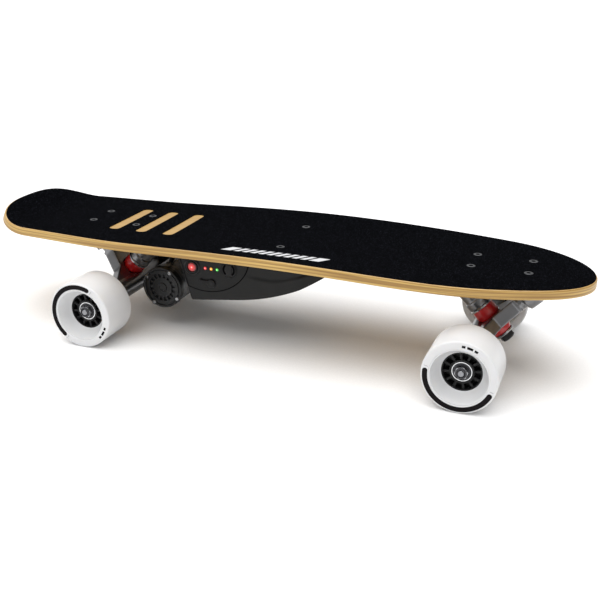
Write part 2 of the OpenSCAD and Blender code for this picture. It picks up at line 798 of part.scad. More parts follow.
module motor_mount() {
    color("black") difference() {
        translate([0, mount_out, 0]) rotate([90, 0, 0]) linear_extrude(mount_t) mount_outline();
        at_axle(rear_axle_x) translate([0, 0, mount_in - 1])
            cylinder(d = tube_d + 2 * seat_gap, h = mount_t + 2, $fn = bore_fn);
        at_motor() translate([0, 0, mount_in - 1]) {
            cylinder(d = shaft_d + 6, h = mount_t + 2, $fn = bore_fn);
            for (i = [0 : 3]) rotate([0, 0, 45 + 90 * i]) translate([motor_r * 0.6, 0, 0])
                cylinder(r = 1.6, h = mount_t + 2, $fn = 24);
        }
    }
}

module motor_screws() {
    color("silver") at_motor() {
        for (i = [0 : 3]) rotate([0, 0, 45 + 90 * i]) {
            translate([motor_r * 0.6, 0, mount_in - 2]) {
                cylinder(r = 1.45, h = mount_t + 2, $fn = 24);
                translate([0, 0, mount_t + 2]) cylinder(r = 2.7, h = 2.5, $fn = bore_fn);
            }
            translate([cap_r * 0.48, 0, can_in - cap_len - 1.2]) {
                cylinder(r = 2.6, h = 1.2, $fn = bore_fn);
                cylinder(r = 1.5, h = 5, $fn = 24);
            }
        }
    }
}

// ---- Battery housing ----------------------------------------------------

// Height of the bow's end in the arc's own angle
function bow_end(r, z_stop) = acos((bow_r * cos(pod_slope) - (z_stop - bow_z)) / r);

// Side outline of the housing, drawn inwards by `in`
module pod_outline(in) {
    cx = bow_x - bow_r * sin(pod_slope);
    cz = bow_z + bow_r * cos(pod_slope);
    r = bow_r - in;
    stop = bow_end(r, pod_top - bow_lip);
    rise = in / cos(pod_slope);
    steps = 14;
    over = in > 0 ? 20 : 0;
    front_lip = cx + bow_r * sin(bow_end(bow_r, pod_top - bow_lip)) + 6 - in;
    polygon(concat(
        [[pod_x0 + in, pod_z0 + rise + in * tan(pod_slope)]],
        [for (i = [0 : steps]) let (a = pod_slope + (stop - pod_slope) * i / steps)
            [cx + r * sin(a), cz - r * cos(a)]],
        [[front_lip, pod_top], [front_lip, pod_top + over],
         [pod_x0 - pod_lean + in, pod_top + over], [pod_x0 - pod_lean + in, pod_top]]));
}

// Plan of the housing, which narrows towards the bow
module pod_plan(in) {
    back = pod_x0 - pod_lean + in;
    front = 95 - in;
    side = pod_side - in;
    polygon([[back, -side + 6], [back + 6, -side], [32, -side], [front, -side + 24],
        [front, side - 24], [32, side], [back + 6, side], [back, side - 6]]);
}

module pod_body(in) {
    intersection() {
        translate([0, pod_side + 1, 0]) rotate([90, 0, 0]) linear_extrude(pod_w + 2) pod_outline(in);
        translate([0, 0, pod_z0 - 5]) linear_extrude(pod_depth + 40) pod_plan(in);
    }
}

// Outline of the side panel that carries the controls, in X and depth under the top
module panel_shape(grow) {
    back = pod_x0 - 8;
    intersection() {
        translate([back - grow, -46 - grow]) square([100 + 2 * grow, 44 + 2 * grow]);
        translate([back + 32, 2]) circle(r = 48 + grow, $fn = round_fn);
    }
}

module on_panel(y) {
    translate([0, y, pod_top]) rotate([90, 0, 0]) children();
}

module battery_housing() {
    color("black") difference() {
        union() {
            difference() {
                pod_body(0);
                pod_body(pod_wall);
            }
            intersection() {
                pod_body(0.5);
                union() {
                    pod_bolt_places() translate([0, 0, pod_top - 14])
                        cylinder(r = boss_r, h = 14, $fn = bore_fn);
                    for (y = [-pod_side, pod_bolt_y])
                        translate([pod_bolt_x - 3, y, pod_top - 14])
                            cube([6, pod_side - pod_bolt_y, 14]);
                    pod_screw_places() translate([0, 0, pod_z0 - 1])
                        cylinder(r = boss_r, h = pod_depth + 1, $fn = bore_fn);
                }
            }
        }
        pod_bolt_places() translate([0, 0, pod_top - 20])
            cylinder(r = bolt_d / 2 + seat_gap, h = 40, $fn = bore_fn);
        pod_screw_places() {
            translate([0, 0, pod_z0 - 5]) cylinder(r = 2 + seat_gap, h = pod_depth + 20, $fn = bore_fn);
            translate([0, 0, pod_z0 - 5]) cylinder(r = 4, h = pod_depth - 7, $fn = bore_fn);
        }
        // Seat and openings for the control panel
        on_panel(-pod_side + panel_t - 1) linear_extrude(10) panel_shape(seat_gap);
        on_panel(-pod_side + 10) {
            translate([button_at[0], -button_at[1]])
                cylinder(r = button_d / 2 + 1, h = 20, $fn = bore_fn);
            for (i = [0 : 2]) translate([led_at[0] + led_pitch * i, -led_at[1]])
                cylinder(r = 2.4, h = 20, $fn = bore_fn);
            translate([port_at[0], -port_at[1]])
                cylinder(r = port_d / 2 + 1.6, h = 20, $fn = bore_fn);
        }
        // Cable outlet in the back
        translate([pod_x0 - 25, wire_y - 2, wire_z]) rotate([0, 90, 0])
            cylinder(r = 2 + wire_r, h = 20, $fn = 24);
        translate([pod_x0 - 25, wire_y + (wires - 1) * wire_pitch + 2, wire_z]) rotate([0, 90, 0])
            cylinder(r = 2 + wire_r, h = 20, $fn = 24);
        translate([pod_x0 - 25, wire_y - 2, wire_z - wire_r - 2])
            cube([20, (wires - 1) * wire_pitch + 4, 2 * wire_r + 4]);
    }
}

module housing_gasket() {
    color("dimgray") difference() {
        intersection() {
            translate([0, 0, pod_top]) linear_extrude(7) difference() {
                pod_plan(0.8);
                pod_plan(7);
            }
            translate([pod_x0 - pod_lean + 0.5, -pod_side, pod_top - 1])
                cube([pod_front() - pod_x0 + pod_lean - 1, pod_w, 20]);
        }
        deck_blank();
    }
    color("dimgray") difference() {
        intersection() {
            translate([0, 0, pod_top]) linear_extrude(7) pod_plan(0.8);
            translate([pod_front() - 8, -pod_side, pod_top]) cube([7, pod_w, 7]);
        }
        deck_blank();
    }
}

function pod_front() = bow_x - bow_r * sin(pod_slope)
    + bow_r * sin(bow_end(bow_r, pod_top - bow_lip)) + 6;

module housing_bolts() {
    len = pod_bolt_z - pod_top + 16;
    color("gray") pod_bolt_places() {
        translate([0, 0, pod_bolt_z]) flush_bolt(bolt_d, len + 4);
        translate([0, 0, pod_top - 14 - 4]) hex_nut(8, 4, bolt_d / 2);
    }
}

module housing_screws() {
    color("silver") pod_screw_places() translate([0, 0, pod_top - 12]) {
        cylinder(r = 2, h = pod_screw_len - 2, $fn = bore_fn);
        translate([0, 0, -3]) cylinder(r = 3.7, h = 3, $fn = bore_fn);
    }
}

module control_panel() {
    color("dimgray") on_panel(-pod_side + panel_t - 1) linear_extrude(panel_t - 0.8) difference() {
        intersection() {
            panel_shape(0);
            pod_outline_panel();
        }
        translate([button_at[0], -button_at[1]]) circle(r = button_d / 2 + 0.2, $fn = bore_fn);
        for (i = [0 : 2]) translate([led_at[0] + led_pitch * i, -led_at[1]])
            circle(r = 2 + seat_gap, $fn = bore_fn);
        translate([port_at[0], -port_at[1]]) circle(r = port_d / 2 + 1.5 + seat_gap, $fn = bore_fn);
    }
}

// The housing's own side outline, so that the panel stops short of its edges
module pod_outline_panel() {
    translate([0, -pod_top]) pod_outline(1.5);
}

module battery_cells() {
    color("royalblue") for (i = [0 : cells - 1])
        translate([cell_x0 + (cell_d + cell_gap) * i, cell_len / 2, cell_low + cell_d / 2])
            rotate([90, 0, 0]) cylinder(d = cell_d, h = cell_len, $fn = round_fn);
}

module motor_controller() {
    color("green") translate([pod_x0 + 14, -38, board_z]) cube([52, 76, 2]);
    color("silver") translate([pod_x0 + 18, -34, board_z + 2])
        cube([44, 68, cell_low - board_z - 10]);
}

module power_button() {
    color("red") on_panel(-pod_side + 6) translate([button_at[0], -button_at[1]]) {
        cylinder(d = button_d, h = 8.5, $fn = round_fn);
        cylinder(d = button_d + 1.4, h = 2, $fn = round_fn);
    }
}

module indicator_leds() {
    colors = ["red", "orange", "lime"];
    for (i = [0 : 2]) color(colors[i]) on_panel(-pod_side + 6)
        translate([led_at[0] + led_pitch * i, -led_at[1]]) cylinder(r = 2, h = 6.4, $fn = bore_fn);
}

module charge_socket() {
    color("black") on_panel(-pod_side + 16) translate([port_at[0], -port_at[1]]) {
        difference() {
            cylinder(r = port_d / 2 + 1.5, h = 16, $fn = round_fn);
            translate([0, 0, 3]) cylinder(d = port_d, h = 20, $fn = bore_fn);
        }
    }
}

cap_t = 2.2;
cap_hinge_z = -port_at[1] - port_cap_d / 2 - 1;

// Cap over the socket, with a plug lip and a hinge barrel under it
module charge_cap() {
    color("black") on_panel(-pod_side - fit_gap) {
        translate([port_at[0], -port_at[1]]) {
            cylinder(d = port_cap_d, h = cap_t, $fn = round_fn);
            translate([-2.5, -port_cap_d / 2 - 0.6, 0]) cube([5, 3, cap_t]);
        }
        translate([port_at[0] - 4, cap_hinge_z, cap_t / 2]) rotate([0, 90, 0])
            cylinder(d = cap_t, h = 8, $fn = bore_fn);
    }
}

// Three motor leads that rise off the can and bend into the back of the housing
wire_back = pod_x0 - pod_lean * (pod_depth - (pod_top - wire_z)) / pod_depth + 8;
wire_route = concat(
    [for (a = [0 : 10 : 90]) [wire_bend * (1 - cos(a)), wire_bend * sin(a), a]],
    [[wire_back - motor_x, wire_bend, 90]]);
wire_sides = 10;

// Tube along a flat route whose points are [x, z, angle from upright]
module lead(route, r) {
    rings = len(route);
    pts = [for (p = route) for (k = [0 : wire_sides - 1]) let (t = 360 * k / wire_sides)
        [p[0] - r * cos(t) * cos(p[2]), r * sin(t), p[1] + r * cos(t) * sin(p[2])]];
    sides = [for (i = [0 : rings - 2]) for (k = [0 : wire_sides - 1])
        let (a = i * wire_sides + k, b = i * wire_sides + (k + 1) % wire_sides)
            each [[a, b, b + wire_sides], [a, b + wire_sides, a + wire_sides]]];
    ends = [[for (k = [0 : wire_sides - 1]) wire_sides - 1 - k],
        [for (k = [0 : wire_sides - 1]) (rings - 1) * wire_sides + k]];
    polyhedron(points = pts, faces = concat(sides, ends));
}

module motor_cable() {
    color("black") for (i = [0 : wires - 1])
        translate([motor_x, wire_y + wire_pitch * i, wire_z - wire_bend]) lead(wire_route, wire_r);
}

// ---- Nodes --------------------------------------------------------------

deck();
grip_tape();
truck_bolts();
truck_locknuts();
riser_pads();
color("silver") truck_frame(1) baseplate();  // front_baseplate
color("silver") truck_frame(-1) baseplate();  // rear_baseplate
color("dimgray") in_truck(1) kingpin();  // front_kingpin
color("dimgray") in_truck(-1) kingpin();  // rear_kingpin
kingpin_nuts();
cup_washers();
pivot_cups();
color("crimson") in_truck(1) board_bushing();  // front_board_bushing
color("crimson") in_truck(1) road_bushing();  // front_road_bushing
color("crimson") in_truck(-1) board_bushing();  // rear_board_bushing
color("crimson") in_truck(-1) road_bushing();  // rear_road_bushing
color("silver") in_truck(1) hanger();  // front_hanger
axle(front_axle_x);  // front_axle
axle_nuts(front_axle_x);  // front_axle_nuts
speed_washers(front_axle_x);  // front_speed_washers
bearing_spacers(front_axle_x);  // front_bearing_spacers
color("silver") in_truck(-1) hanger();  // rear_hanger
axle(rear_axle_x);  // rear_axle
axle_nuts(rear_axle_x);  // rear_axle_nuts
speed_washers(rear_axle_x);  // rear_speed_washers
bearing_spacers(rear_axle_x);  // rear_bearing_spacers
at_wheel(front_axle_x, 1) tyre();  // front_left_tyre
at_wheel(front_axle_x, 1) core(false);  // front_left_core
at_wheel(front_axle_x, 1) bearings();  // front_left_bearings
at_wheel(front_axle_x, -1) tyre();  // front_right_tyre
at_wheel(front_axle_x, -1) core(false);  // front_right_core
at_wheel(front_axle_x, -1) bearings();  // front_right_bearings
at_wheel(rear_axle_x, 1) tyre();  // rear_left_tyre
at_wheel(rear_axle_x, 1) core(true);  // rear_left_core
at_wheel(rear_axle_x, 1) bearings();  // rear_left_bearings
at_wheel(rear_axle_x, -1) tyre();  // rear_right_tyre
at_wheel(rear_axle_x, -1) core(false);  // rear_right_core
at_wheel(rear_axle_x, -1) bearings();  // rear_right_bearings
wheel_pulley();
pulley_screws();
drive_belt();
motor_pulley();
motor_rotor();
motor_can();
motor_end_cap();
motor_mount();
motor_screws();
battery_housing();
housing_gasket();
housing_bolts();
housing_screws();
control_panel();
battery_cells();
motor_controller();
power_button();
indicator_leds();
charge_socket();
charge_cap();
motor_cable();
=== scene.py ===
"""Looks of an electric cruiser skateboard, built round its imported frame.

Sizes are metres in the frame of the part: +X to the nose, +Y to the rider's
left, +Z up, with the floor at z = 0.
"""
import json
import logging
import math
from dataclasses import dataclass, field
from enum import Enum
from typing import Iterable, Sequence

import bmesh
import bpy
import numpy as np
from mathutils import Matrix, Vector


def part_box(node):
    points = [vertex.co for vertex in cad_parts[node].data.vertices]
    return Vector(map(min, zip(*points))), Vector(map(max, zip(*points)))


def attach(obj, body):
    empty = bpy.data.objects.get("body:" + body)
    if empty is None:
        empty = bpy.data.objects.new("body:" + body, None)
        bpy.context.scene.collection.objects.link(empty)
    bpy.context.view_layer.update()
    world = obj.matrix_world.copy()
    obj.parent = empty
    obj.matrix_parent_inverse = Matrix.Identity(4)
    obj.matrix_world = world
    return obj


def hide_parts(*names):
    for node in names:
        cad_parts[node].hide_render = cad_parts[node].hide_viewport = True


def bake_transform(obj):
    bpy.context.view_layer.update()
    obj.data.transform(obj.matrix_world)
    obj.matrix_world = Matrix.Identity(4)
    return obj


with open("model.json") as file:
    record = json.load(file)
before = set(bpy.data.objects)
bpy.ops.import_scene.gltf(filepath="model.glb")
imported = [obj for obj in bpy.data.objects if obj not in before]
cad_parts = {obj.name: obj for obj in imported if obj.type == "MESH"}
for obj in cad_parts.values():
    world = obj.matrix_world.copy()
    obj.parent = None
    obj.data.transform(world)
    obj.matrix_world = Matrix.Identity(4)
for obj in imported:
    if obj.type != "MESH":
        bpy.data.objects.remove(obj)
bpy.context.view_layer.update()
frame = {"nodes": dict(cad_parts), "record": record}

LOG = logging.getLogger("skateboard")
MM = 0.001
# Bands that a wave texture of scale 1 draws in one unit
BANDS_PER_UNIT = 3.18
Point = tuple[float, float, float]
Flat = tuple[float, float]
Colour = tuple[float, float, float]


# ---- Materials ------------------------------------------------------------

class Space(Enum):
    """Where a pattern's coordinates come from."""

    OBJECT = "Object"
    UV = "UV"


class Graph:
    """A material's node tree, with its Principled shader and short helpers."""

    def __init__(self, name: str) -> None:
        """Makes an empty material of that name with a Principled shader."""
        self.material = bpy.data.materials.new(name)
        self.material.use_nodes = True
        self.tree = self.material.node_tree
        self.shader = self.tree.nodes["Principled BSDF"]

    def node(self, kind: str, **values: object) -> bpy.types.Node:
        """Adds a node.

        Args:
            kind: The node's bl_idname.
            values: Settings by attribute name, or by input name with spaces as _.

        Returns:
            The new node.
        """
        made = self.tree.nodes.new(kind)
        for key, value in values.items():
            socket = made.inputs.get(key.replace("_", " "))
            if socket is not None and not hasattr(made, key):
                socket.default_value = value
            else:
                setattr(made, key, value)
        return made

    def link(self, source: bpy.types.NodeSocket, target: bpy.types.NodeSocket) -> None:
        """Joins an output to an input."""
        self.tree.links.new(source, target)

    def coordinates(self, space: Space, scale: Point = (1, 1, 1)) -> bpy.types.NodeSocket:
        """Pattern coordinates, scaled.

        Args:
            space: Where they come from.
            scale: Factors along the three axes.

        Returns:
            A vector output.
        """
        source = self.node("ShaderNodeTexCoord")
        mapping = self.node("ShaderNodeMapping", Scale=scale)
        self.link(source.outputs[space.value], mapping.inputs["Vector"])
        return mapping.outputs["Vector"]

    def noise(self, at: bpy.types.NodeSocket, scale: float, detail: float = 2.0,
              roughness: float = 0.5) -> bpy.types.NodeSocket:
        """Noise of about that many spots per metre, as a value output."""
        made = self.node("ShaderNodeTexNoise", Scale=scale, Detail=detail,
                         Roughness=roughness)
        self.link(at, made.inputs["Vector"])
        return made.outputs["Fac"]

    def ramp(self, value: bpy.types.NodeSocket,
             stops: Sequence[tuple[float, Colour]]) -> bpy.types.NodeSocket:
        """Turns a value into a colour by stops of (place, colour)."""
        made = self.node("ShaderNodeValToRGB")
        band = made.color_ramp
        while len(band.elements) < len(stops):
            band.elements.new(0.5)
        for element, (place, colour) in zip(band.elements, stops):
            element.position = place
            element.color = (*colour, 1.0)
        self.link(value, made.inputs["Fac"])
        return made.outputs["Color"]

    def remap(self, value: bpy.types.NodeSocket, low: float,
              high: float) -> bpy.types.NodeSocket:
        """Stretches a 0 to 1 value to run from low to high."""
        made = self.node("ShaderNodeMapRange", To_Min=low, To_Max=high)
        self.link(value, made.inputs["Value"])
        return made.outputs["Result"]

    def added(self, value: bpy.types.NodeSocket, share: float,
              rest: bpy.types.NodeSocket) -> bpy.types.NodeSocket:
        """A share of one value added to another."""
        made = self.node("ShaderNodeMath", operation="MULTIPLY_ADD")
        made.inputs[1].default_value = share
        self.link(value, made.inputs[0])
        self.link(rest, made.inputs[2])
        return made.outputs[0]

    def mottle(self, value: bpy.types.NodeSocket, colour: Colour, darkest: float,
               lightest: float, edge: float = 0.3) -> None:
        """Feeds the base colour, made darker and lighter by a value.

        Args:
            value: The varying value.
            colour: The colour in the middle.
            darkest: Factor at the value's low end.
            lightest: Factor at its high end.
            edge: Where the low end lies; the high end lies at one less this.
        """
        self.feed(self.ramp(value, [(edge, shade(colour, darkest)),
                                    (1 - edge, shade(colour, lightest))]), "Base Color")

    def bump(self, value: bpy.types.NodeSocket, strength: float, depth: float) -> None:
        """Bumps the shader's normal by a value, to that depth in metres."""
        made = self.node("ShaderNodeBump", Strength=strength, Distance=depth)
        self.link(value, made.inputs["Height"])
        self.link(made.outputs["Normal"], self.shader.inputs["Normal"])

    def set(self, **values: object) -> None:
        """Sets inputs of the shader by name, with spaces as _."""
        for key, value in values.items():
            self.shader.inputs[key.replace("_", " ")].default_value = value

    def feed(self, value: bpy.types.NodeSocket, name: str) -> None:
        """Links a varying value to one input of the shader."""
        self.link(value, self.shader.inputs[name])


def shade(colour: Colour, factor: float) -> Colour:
    """The same colour, lighter or darker by a factor."""
    return tuple(min(1.0, part * factor) for part in colour)


@dataclass(frozen=True)
class Moulded:
    """Moulded plastic, rubber or urethane: a soft mottle under a fine grain."""

    colour: Colour
    roughness: float = 0.5
    grain: float = 1800.0
    depth: float = 0.00006
    strength: float = 0.3
    mottle: float = 0.12
    subsurface: float = 0.0
    coat: float = 0.0
    specular: float = 0.22

    def build(self, name: str) -> bpy.types.Material:
        """Makes the material."""
        graph = Graph(name)
        at = graph.coordinates(Space.OBJECT)
        cloud = graph.noise(at, 60.0, 4.0)
        grain = graph.noise(at, self.grain, 3.0, 0.6)
        graph.mottle(cloud, self.colour, 1 - self.mottle, 1 + self.mottle)
        graph.feed(graph.remap(grain, self.roughness - 0.06, self.roughness + 0.08),
                   "Roughness")
        graph.bump(grain, self.strength, self.depth)
        graph.set(Subsurface_Weight=self.subsurface, Coat_Weight=self.coat,
                  Specular_IOR_Level=self.specular)
        if self.subsurface:
            graph.set(Subsurface_Radius=(0.004, 0.003, 0.002), Subsurface_Scale=1.0)
        return graph.material


@dataclass(frozen=True)
class Metal:
    """Bare or plated metal: cast, ground or machined, with fine scratches."""

    colour: Colour
    roughness: float = 0.3
    spread: float = 0.1
    grain: float = 500.0
    depth: float = 0.00003
    strength: float = 0.25

    def build(self, name: str) -> bpy.types.Material:
        """Makes the material."""
        graph = Graph(name)
        at = graph.coordinates(Space.OBJECT)
        cloud = graph.noise(at, 45.0, 5.0, 0.6)
        grain = graph.noise(at, self.grain, 4.0, 0.65)
        graph.mottle(cloud, self.colour, 0.9, 1.06)
        graph.feed(graph.remap(cloud, self.roughness - self.spread,
                               self.roughness + self.spread), "Roughness")
        graph.bump(grain, self.strength, self.depth)
        graph.set(Metallic=1.0)
        return graph.material


@dataclass(frozen=True)
class Painted:
    """Satin paint or anodising on metal, with a light orange-peel."""

    colour: Colour
    roughness: float = 0.4
    metallic: float = 0.0

    def build(self, name: str) -> bpy.types.Material:
        """Makes the material."""
        graph = Graph(name)
        at = graph.coordinates(Space.OBJECT)
        peel = graph.noise(at, 900.0, 2.0)
        cloud = graph.noise(at, 80.0, 3.0)
        graph.mottle(cloud, self.colour, 0.88, 1.12)
        graph.feed(graph.remap(cloud, self.roughness - 0.05, self.roughness + 0.08),
                   "Roughness")
        graph.bump(peel, 0.15, 0.00004)
        graph.set(Metallic=self.metallic)
        return graph.material


@dataclass(frozen=True)
class GritTape:
    """Black grit on a backing, with a few bright grains."""

    colour: Colour = (0.0006, 0.0007, 0.0010)
    spark: Colour = (0.018, 0.019, 0.026)
    grain: float = 900.0

    def build(self, name: str) -> bpy.types.Material:
        """Makes the material."""
        graph = Graph(name)
        at = graph.coordinates(Space.OBJECT)
        coarse = graph.noise(at, self.grain, 2.0, 0.7)
        cells = graph.node("ShaderNodeTexVoronoi", Scale=self.grain * 1.6)
        graph.link(at, cells.inputs["Vector"])
        bright = graph.node("ShaderNodeSeparateColor")
        graph.link(cells.outputs["Color"], bright.inputs["Color"])
        graph.feed(graph.ramp(bright.outputs["Red"],
                              [(0.0, self.colour), (0.72, shade(self.colour, 2.0)),
                               (0.92, shade(self.spark, 0.25)), (1.0, self.spark)]),
                   "Base Color")
        graph.feed(graph.remap(coarse, 0.72, 0.95), "Roughness")
        graph.bump(coarse, 0.55, 0.00035)
        graph.set(Specular_IOR_Level=0.01)
        return graph.material


@dataclass(frozen=True)
class BambooEdge:
    """Sawn edge of the laminate: plies as thin lines with streaky fibres.

    The UV map runs in metres: u along the edge, v down through the thickness.
    """

    pale: Colour = (0.66, 0.435, 0.125)
    deep: Colour = (0.32, 0.175, 0.034)
    glue: Colour = (0.20, 0.10, 0.024)
    thickness: float = 10.5 * MM
    plies: int = 3

    def build(self, name: str) -> bpy.types.Material:
        """Makes the material."""
        graph = Graph(name)
        fibres = graph.noise(graph.coordinates(Space.UV, (5, 300, 1)), 1.0, 2.0, 0.5)
        streaks = graph.noise(graph.coordinates(Space.UV, (9, 520, 1)), 1.0, 2.0, 0.5)
        both = graph.added(streaks, 0.40, graph.remap(fibres, 0.0, 0.55))
        wood = graph.ramp(both, [(0.40, self.deep), (0.60, self.pale)])
        wave = graph.node("ShaderNodeTexWave", wave_type="BANDS", bands_direction="Y",
                          wave_profile="SIN", Scale=1.0, Distortion=0.5, Detail=2.0)
        turns = self.plies / self.thickness / BANDS_PER_UNIT
        graph.link(graph.coordinates(Space.UV, (5, turns, 1)), wave.inputs["Vector"])
        lines = graph.ramp(wave.outputs["Fac"], [(0.0, (0.55, 0.55, 0.55)),
                                                 (0.45, (0.0, 0.0, 0.0))])
        mixed = graph.node("ShaderNodeMix", data_type="RGBA")
        graph.link(lines, mixed.inputs["Factor"])
        graph.link(wood, mixed.inputs[6])
        mixed.inputs[7].default_value = (*self.glue, 1.0)
        graph.feed(mixed.outputs[2], "Base Color")
        graph.feed(graph.remap(fibres, 0.34, 0.5), "Roughness")
        graph.bump(both, 0.25, 0.00015)
        graph.set(Coat_Weight=0.15, Coat_Roughness=0.25)
        return graph.material


@dataclass(frozen=True)
class BambooFace:
    """Bamboo veneer: narrow strips glued side by side, with nodes across them."""

    pale: Colour = (0.56, 0.36, 0.125)
    deep: Colour = (0.33, 0.175, 0.045)
    strip: float = 19 * MM

    def build(self, name: str) -> bpy.types.Material:
        """Makes the material."""
        graph = Graph(name)
        fibres = graph.noise(graph.coordinates(Space.OBJECT, (6, 420, 60)), 1.0, 5.0, 0.6)
        fine = graph.noise(graph.coordinates(Space.OBJECT, (30, 1500, 60)), 1.0, 3.0, 0.6)
        bricks = graph.node("ShaderNodeTexBrick", Scale=1.0, Mortar_Size=0.0006,
                            Brick_Width=0.31, Row_Height=self.strip,
                            Color1=(0.34, 0.34, 0.34, 1), Color2=(0.72, 0.72, 0.72, 1),
                            Mortar=(0.0, 0.0, 0.0, 1), offset=0.37)
        graph.link(graph.coordinates(Space.OBJECT), bricks.inputs["Vector"])
        tone = graph.node("ShaderNodeSeparateColor")
        graph.link(bricks.outputs["Color"], tone.inputs["Color"])
        total = graph.added(tone.outputs["Red"], 0.42, graph.remap(fibres, 0.0, 0.6))
        more = graph.added(fine, 0.25, total)
        graph.feed(graph.ramp(more, [(0.3, self.deep), (0.85, self.pale)]), "Base Color")
        graph.feed(graph.remap(fibres, 0.3, 0.48), "Roughness")
        graph.bump(more, 0.2, 0.0001)
        graph.set(Coat_Weight=0.3, Coat_Roughness=0.2)
        return graph.material


@dataclass(frozen=True)
class LitLens:
    """Translucent lens lit from behind, brightest at its middle."""

    colour: Colour
    middle: Point
    radius: float
    core: Colour
    power: float

    def build(self, name: str) -> bpy.types.Material:
        """Makes the material."""
        graph = Graph(name)
        gap = graph.node("ShaderNodeVectorMath", operation="DISTANCE")
        graph.link(graph.coordinates(Space.OBJECT), gap.inputs[0])
        gap.inputs[1].default_value = self.middle
        fade = graph.node("ShaderNodeMapRange", To_Min=1.0, To_Max=0.0)
        fade.inputs["From Max"].default_value = self.radius
        graph.link(gap.outputs["Value"], fade.inputs["Value"])
        glow = graph.ramp(fade.outputs["Result"],
                          [(0.0, shade(self.colour, 0.10)), (0.45, shade(self.colour, 0.55)),
                           (0.75, self.colour), (1.0, self.core)])
        graph.feed(glow, "Base Color")
        graph.feed(glow, "Emission Color")
        graph.set(Emission_Strength=self.power, Roughness=0.18, Coat_Weight=0.6)
        return graph.material


@dataclass(frozen=True)
class Plain:
    """Flat paint of the floor, the printed marks and the painted shade of grooves and notches, with
    a faint variation.
    """

    colour: Colour
    roughness: float = 0.6
    specular: float = 0.1

    def build(self, name: str) -> bpy.types.Material:
        """Makes the material."""
        graph = Graph(name)
        cloud = graph.noise(graph.coordinates(Space.OBJECT), 400.0, 2.0)
        graph.mottle(cloud, self.colour, 0.97, 1.03, edge=0.2)
        graph.set(Roughness=self.roughness, Specular_IOR_Level=self.specular)
        return graph.material


Finish = Moulded | Metal | Painted | GritTape | BambooEdge | BambooFace | LitLens | Plain

FINISHES: dict[str, Finish] = {
    "bamboo": BambooFace(),
    "grip": GritTape(),
    "bolt_black": Painted((0.070, 0.072, 0.076), 0.42, 0.4),
    "zinc_steel": Metal((0.36, 0.365, 0.38), 0.26),
    "riser_rubber": Moulded((0.012, 0.012, 0.013), 0.7),
    # Far darker than bare aluminium: the metal's grey with painted shade and dark reflection from
    # the deck above.
    "truck_aluminium": Metal((0.20, 0.20, 0.205), 0.30, 0.07, 350.0, 0.00003, 0.2),
    "kingpin_steel": Metal((0.42, 0.43, 0.45), 0.32),
    "nut_black": Painted((0.02, 0.02, 0.022), 0.35, 0.5),
    "bushing_urethane": Moulded((0.50, 0.008, 0.010), 0.30, 900.0, 0.00003, 0.2, 0.08, 0.25,
                                0.3, 0.5),
    "pivot_urethane": Moulded((0.72, 0.72, 0.68), 0.4, subsurface=0.2),
    "axle_steel": Metal((0.26, 0.265, 0.28), 0.3),
    "wheel_urethane": Moulded((0.66, 0.66, 0.665), 0.36, 1200.0, 0.00003, 0.15, 0.015, 0.1,
                              0.1, 0.4),
    "core_plastic": Moulded((0.0075, 0.0075, 0.0080), 0.36),
    "bearing_steel": Metal((0.78, 0.79, 0.80), 0.18, 0.06),
    "pulley_black": Painted((0.03, 0.03, 0.034), 0.35, 0.7),
    "pulley_bright": Metal((0.62, 0.63, 0.65), 0.28),
    "belt_rubber": Moulded((0.010, 0.010, 0.011), 0.6),
    "motor_grey": Painted((0.085, 0.087, 0.092), 0.36, 0.5),
    "motor_black": Painted((0.0065, 0.0065, 0.0070), 0.36, 0.1),
    "rotor_steel": Metal((0.45, 0.45, 0.47), 0.32),
    "housing_plastic": Moulded((0.0072, 0.0072, 0.0070), 0.42, 2200.0, 0.00005, 0.25),
    "panel_plastic": Moulded((0.0040, 0.0040, 0.0041), 0.42, 2200.0, 0.00004, 0.2),
    "gasket_foam": Moulded((0.015, 0.015, 0.015), 0.85),
    "cell_wrap": Moulded((0.03, 0.12, 0.42), 0.3),
    "circuit_board": Moulded((0.03, 0.20, 0.07), 0.35),
    "button_red": Moulded((0.60, 0.01, 0.01), 0.25),
    "led_lens": Moulded((0.5, 0.7, 0.3), 0.2),
    "socket_plastic": Moulded((0.010, 0.010, 0.011), 0.35),
    "cap_rubber": Moulded((0.0115, 0.0115, 0.0120), 0.5),
    "lead_rubber": Moulded((0.010, 0.010, 0.011), 0.42),
    "print_white": Plain((0.62, 0.62, 0.63), 0.5),
    "print_black": Plain((0.0085, 0.0072, 0.0078), 0.6, 0.05),
    "print_grey": Plain((0.42, 0.42, 0.43), 0.5),
    # Near-black flat paint: painted shade for the panel's groove and the cap's notches, which are
    # not cut.
    "pocket_dark": Plain((0.0025, 0.0025, 0.003), 0.9, 0.0),
    "bamboo_edge": BambooEdge(),
    "nylon": Moulded((0.05, 0.05, 0.055), 0.4),
}
_made: dict[str, bpy.types.Material] = {}


def material(name: str) -> bpy.types.Material:
    """The material of a finish, made the first time it is asked for."""
    if name not in _made:
        _made[name] = FINISHES[name].build(name)
    return _made[name]


# ---- Mesh helpers -----------------------------------------------------------

def add_object(name: str, mesh: bpy.types.Mesh) -> bpy.types.Object:
    """Links a mesh to the scene as an object at the origin."""
    made = bpy.data.objects.new(name, mesh)
    bpy.context.scene.collection.objects.link(made)
    return made


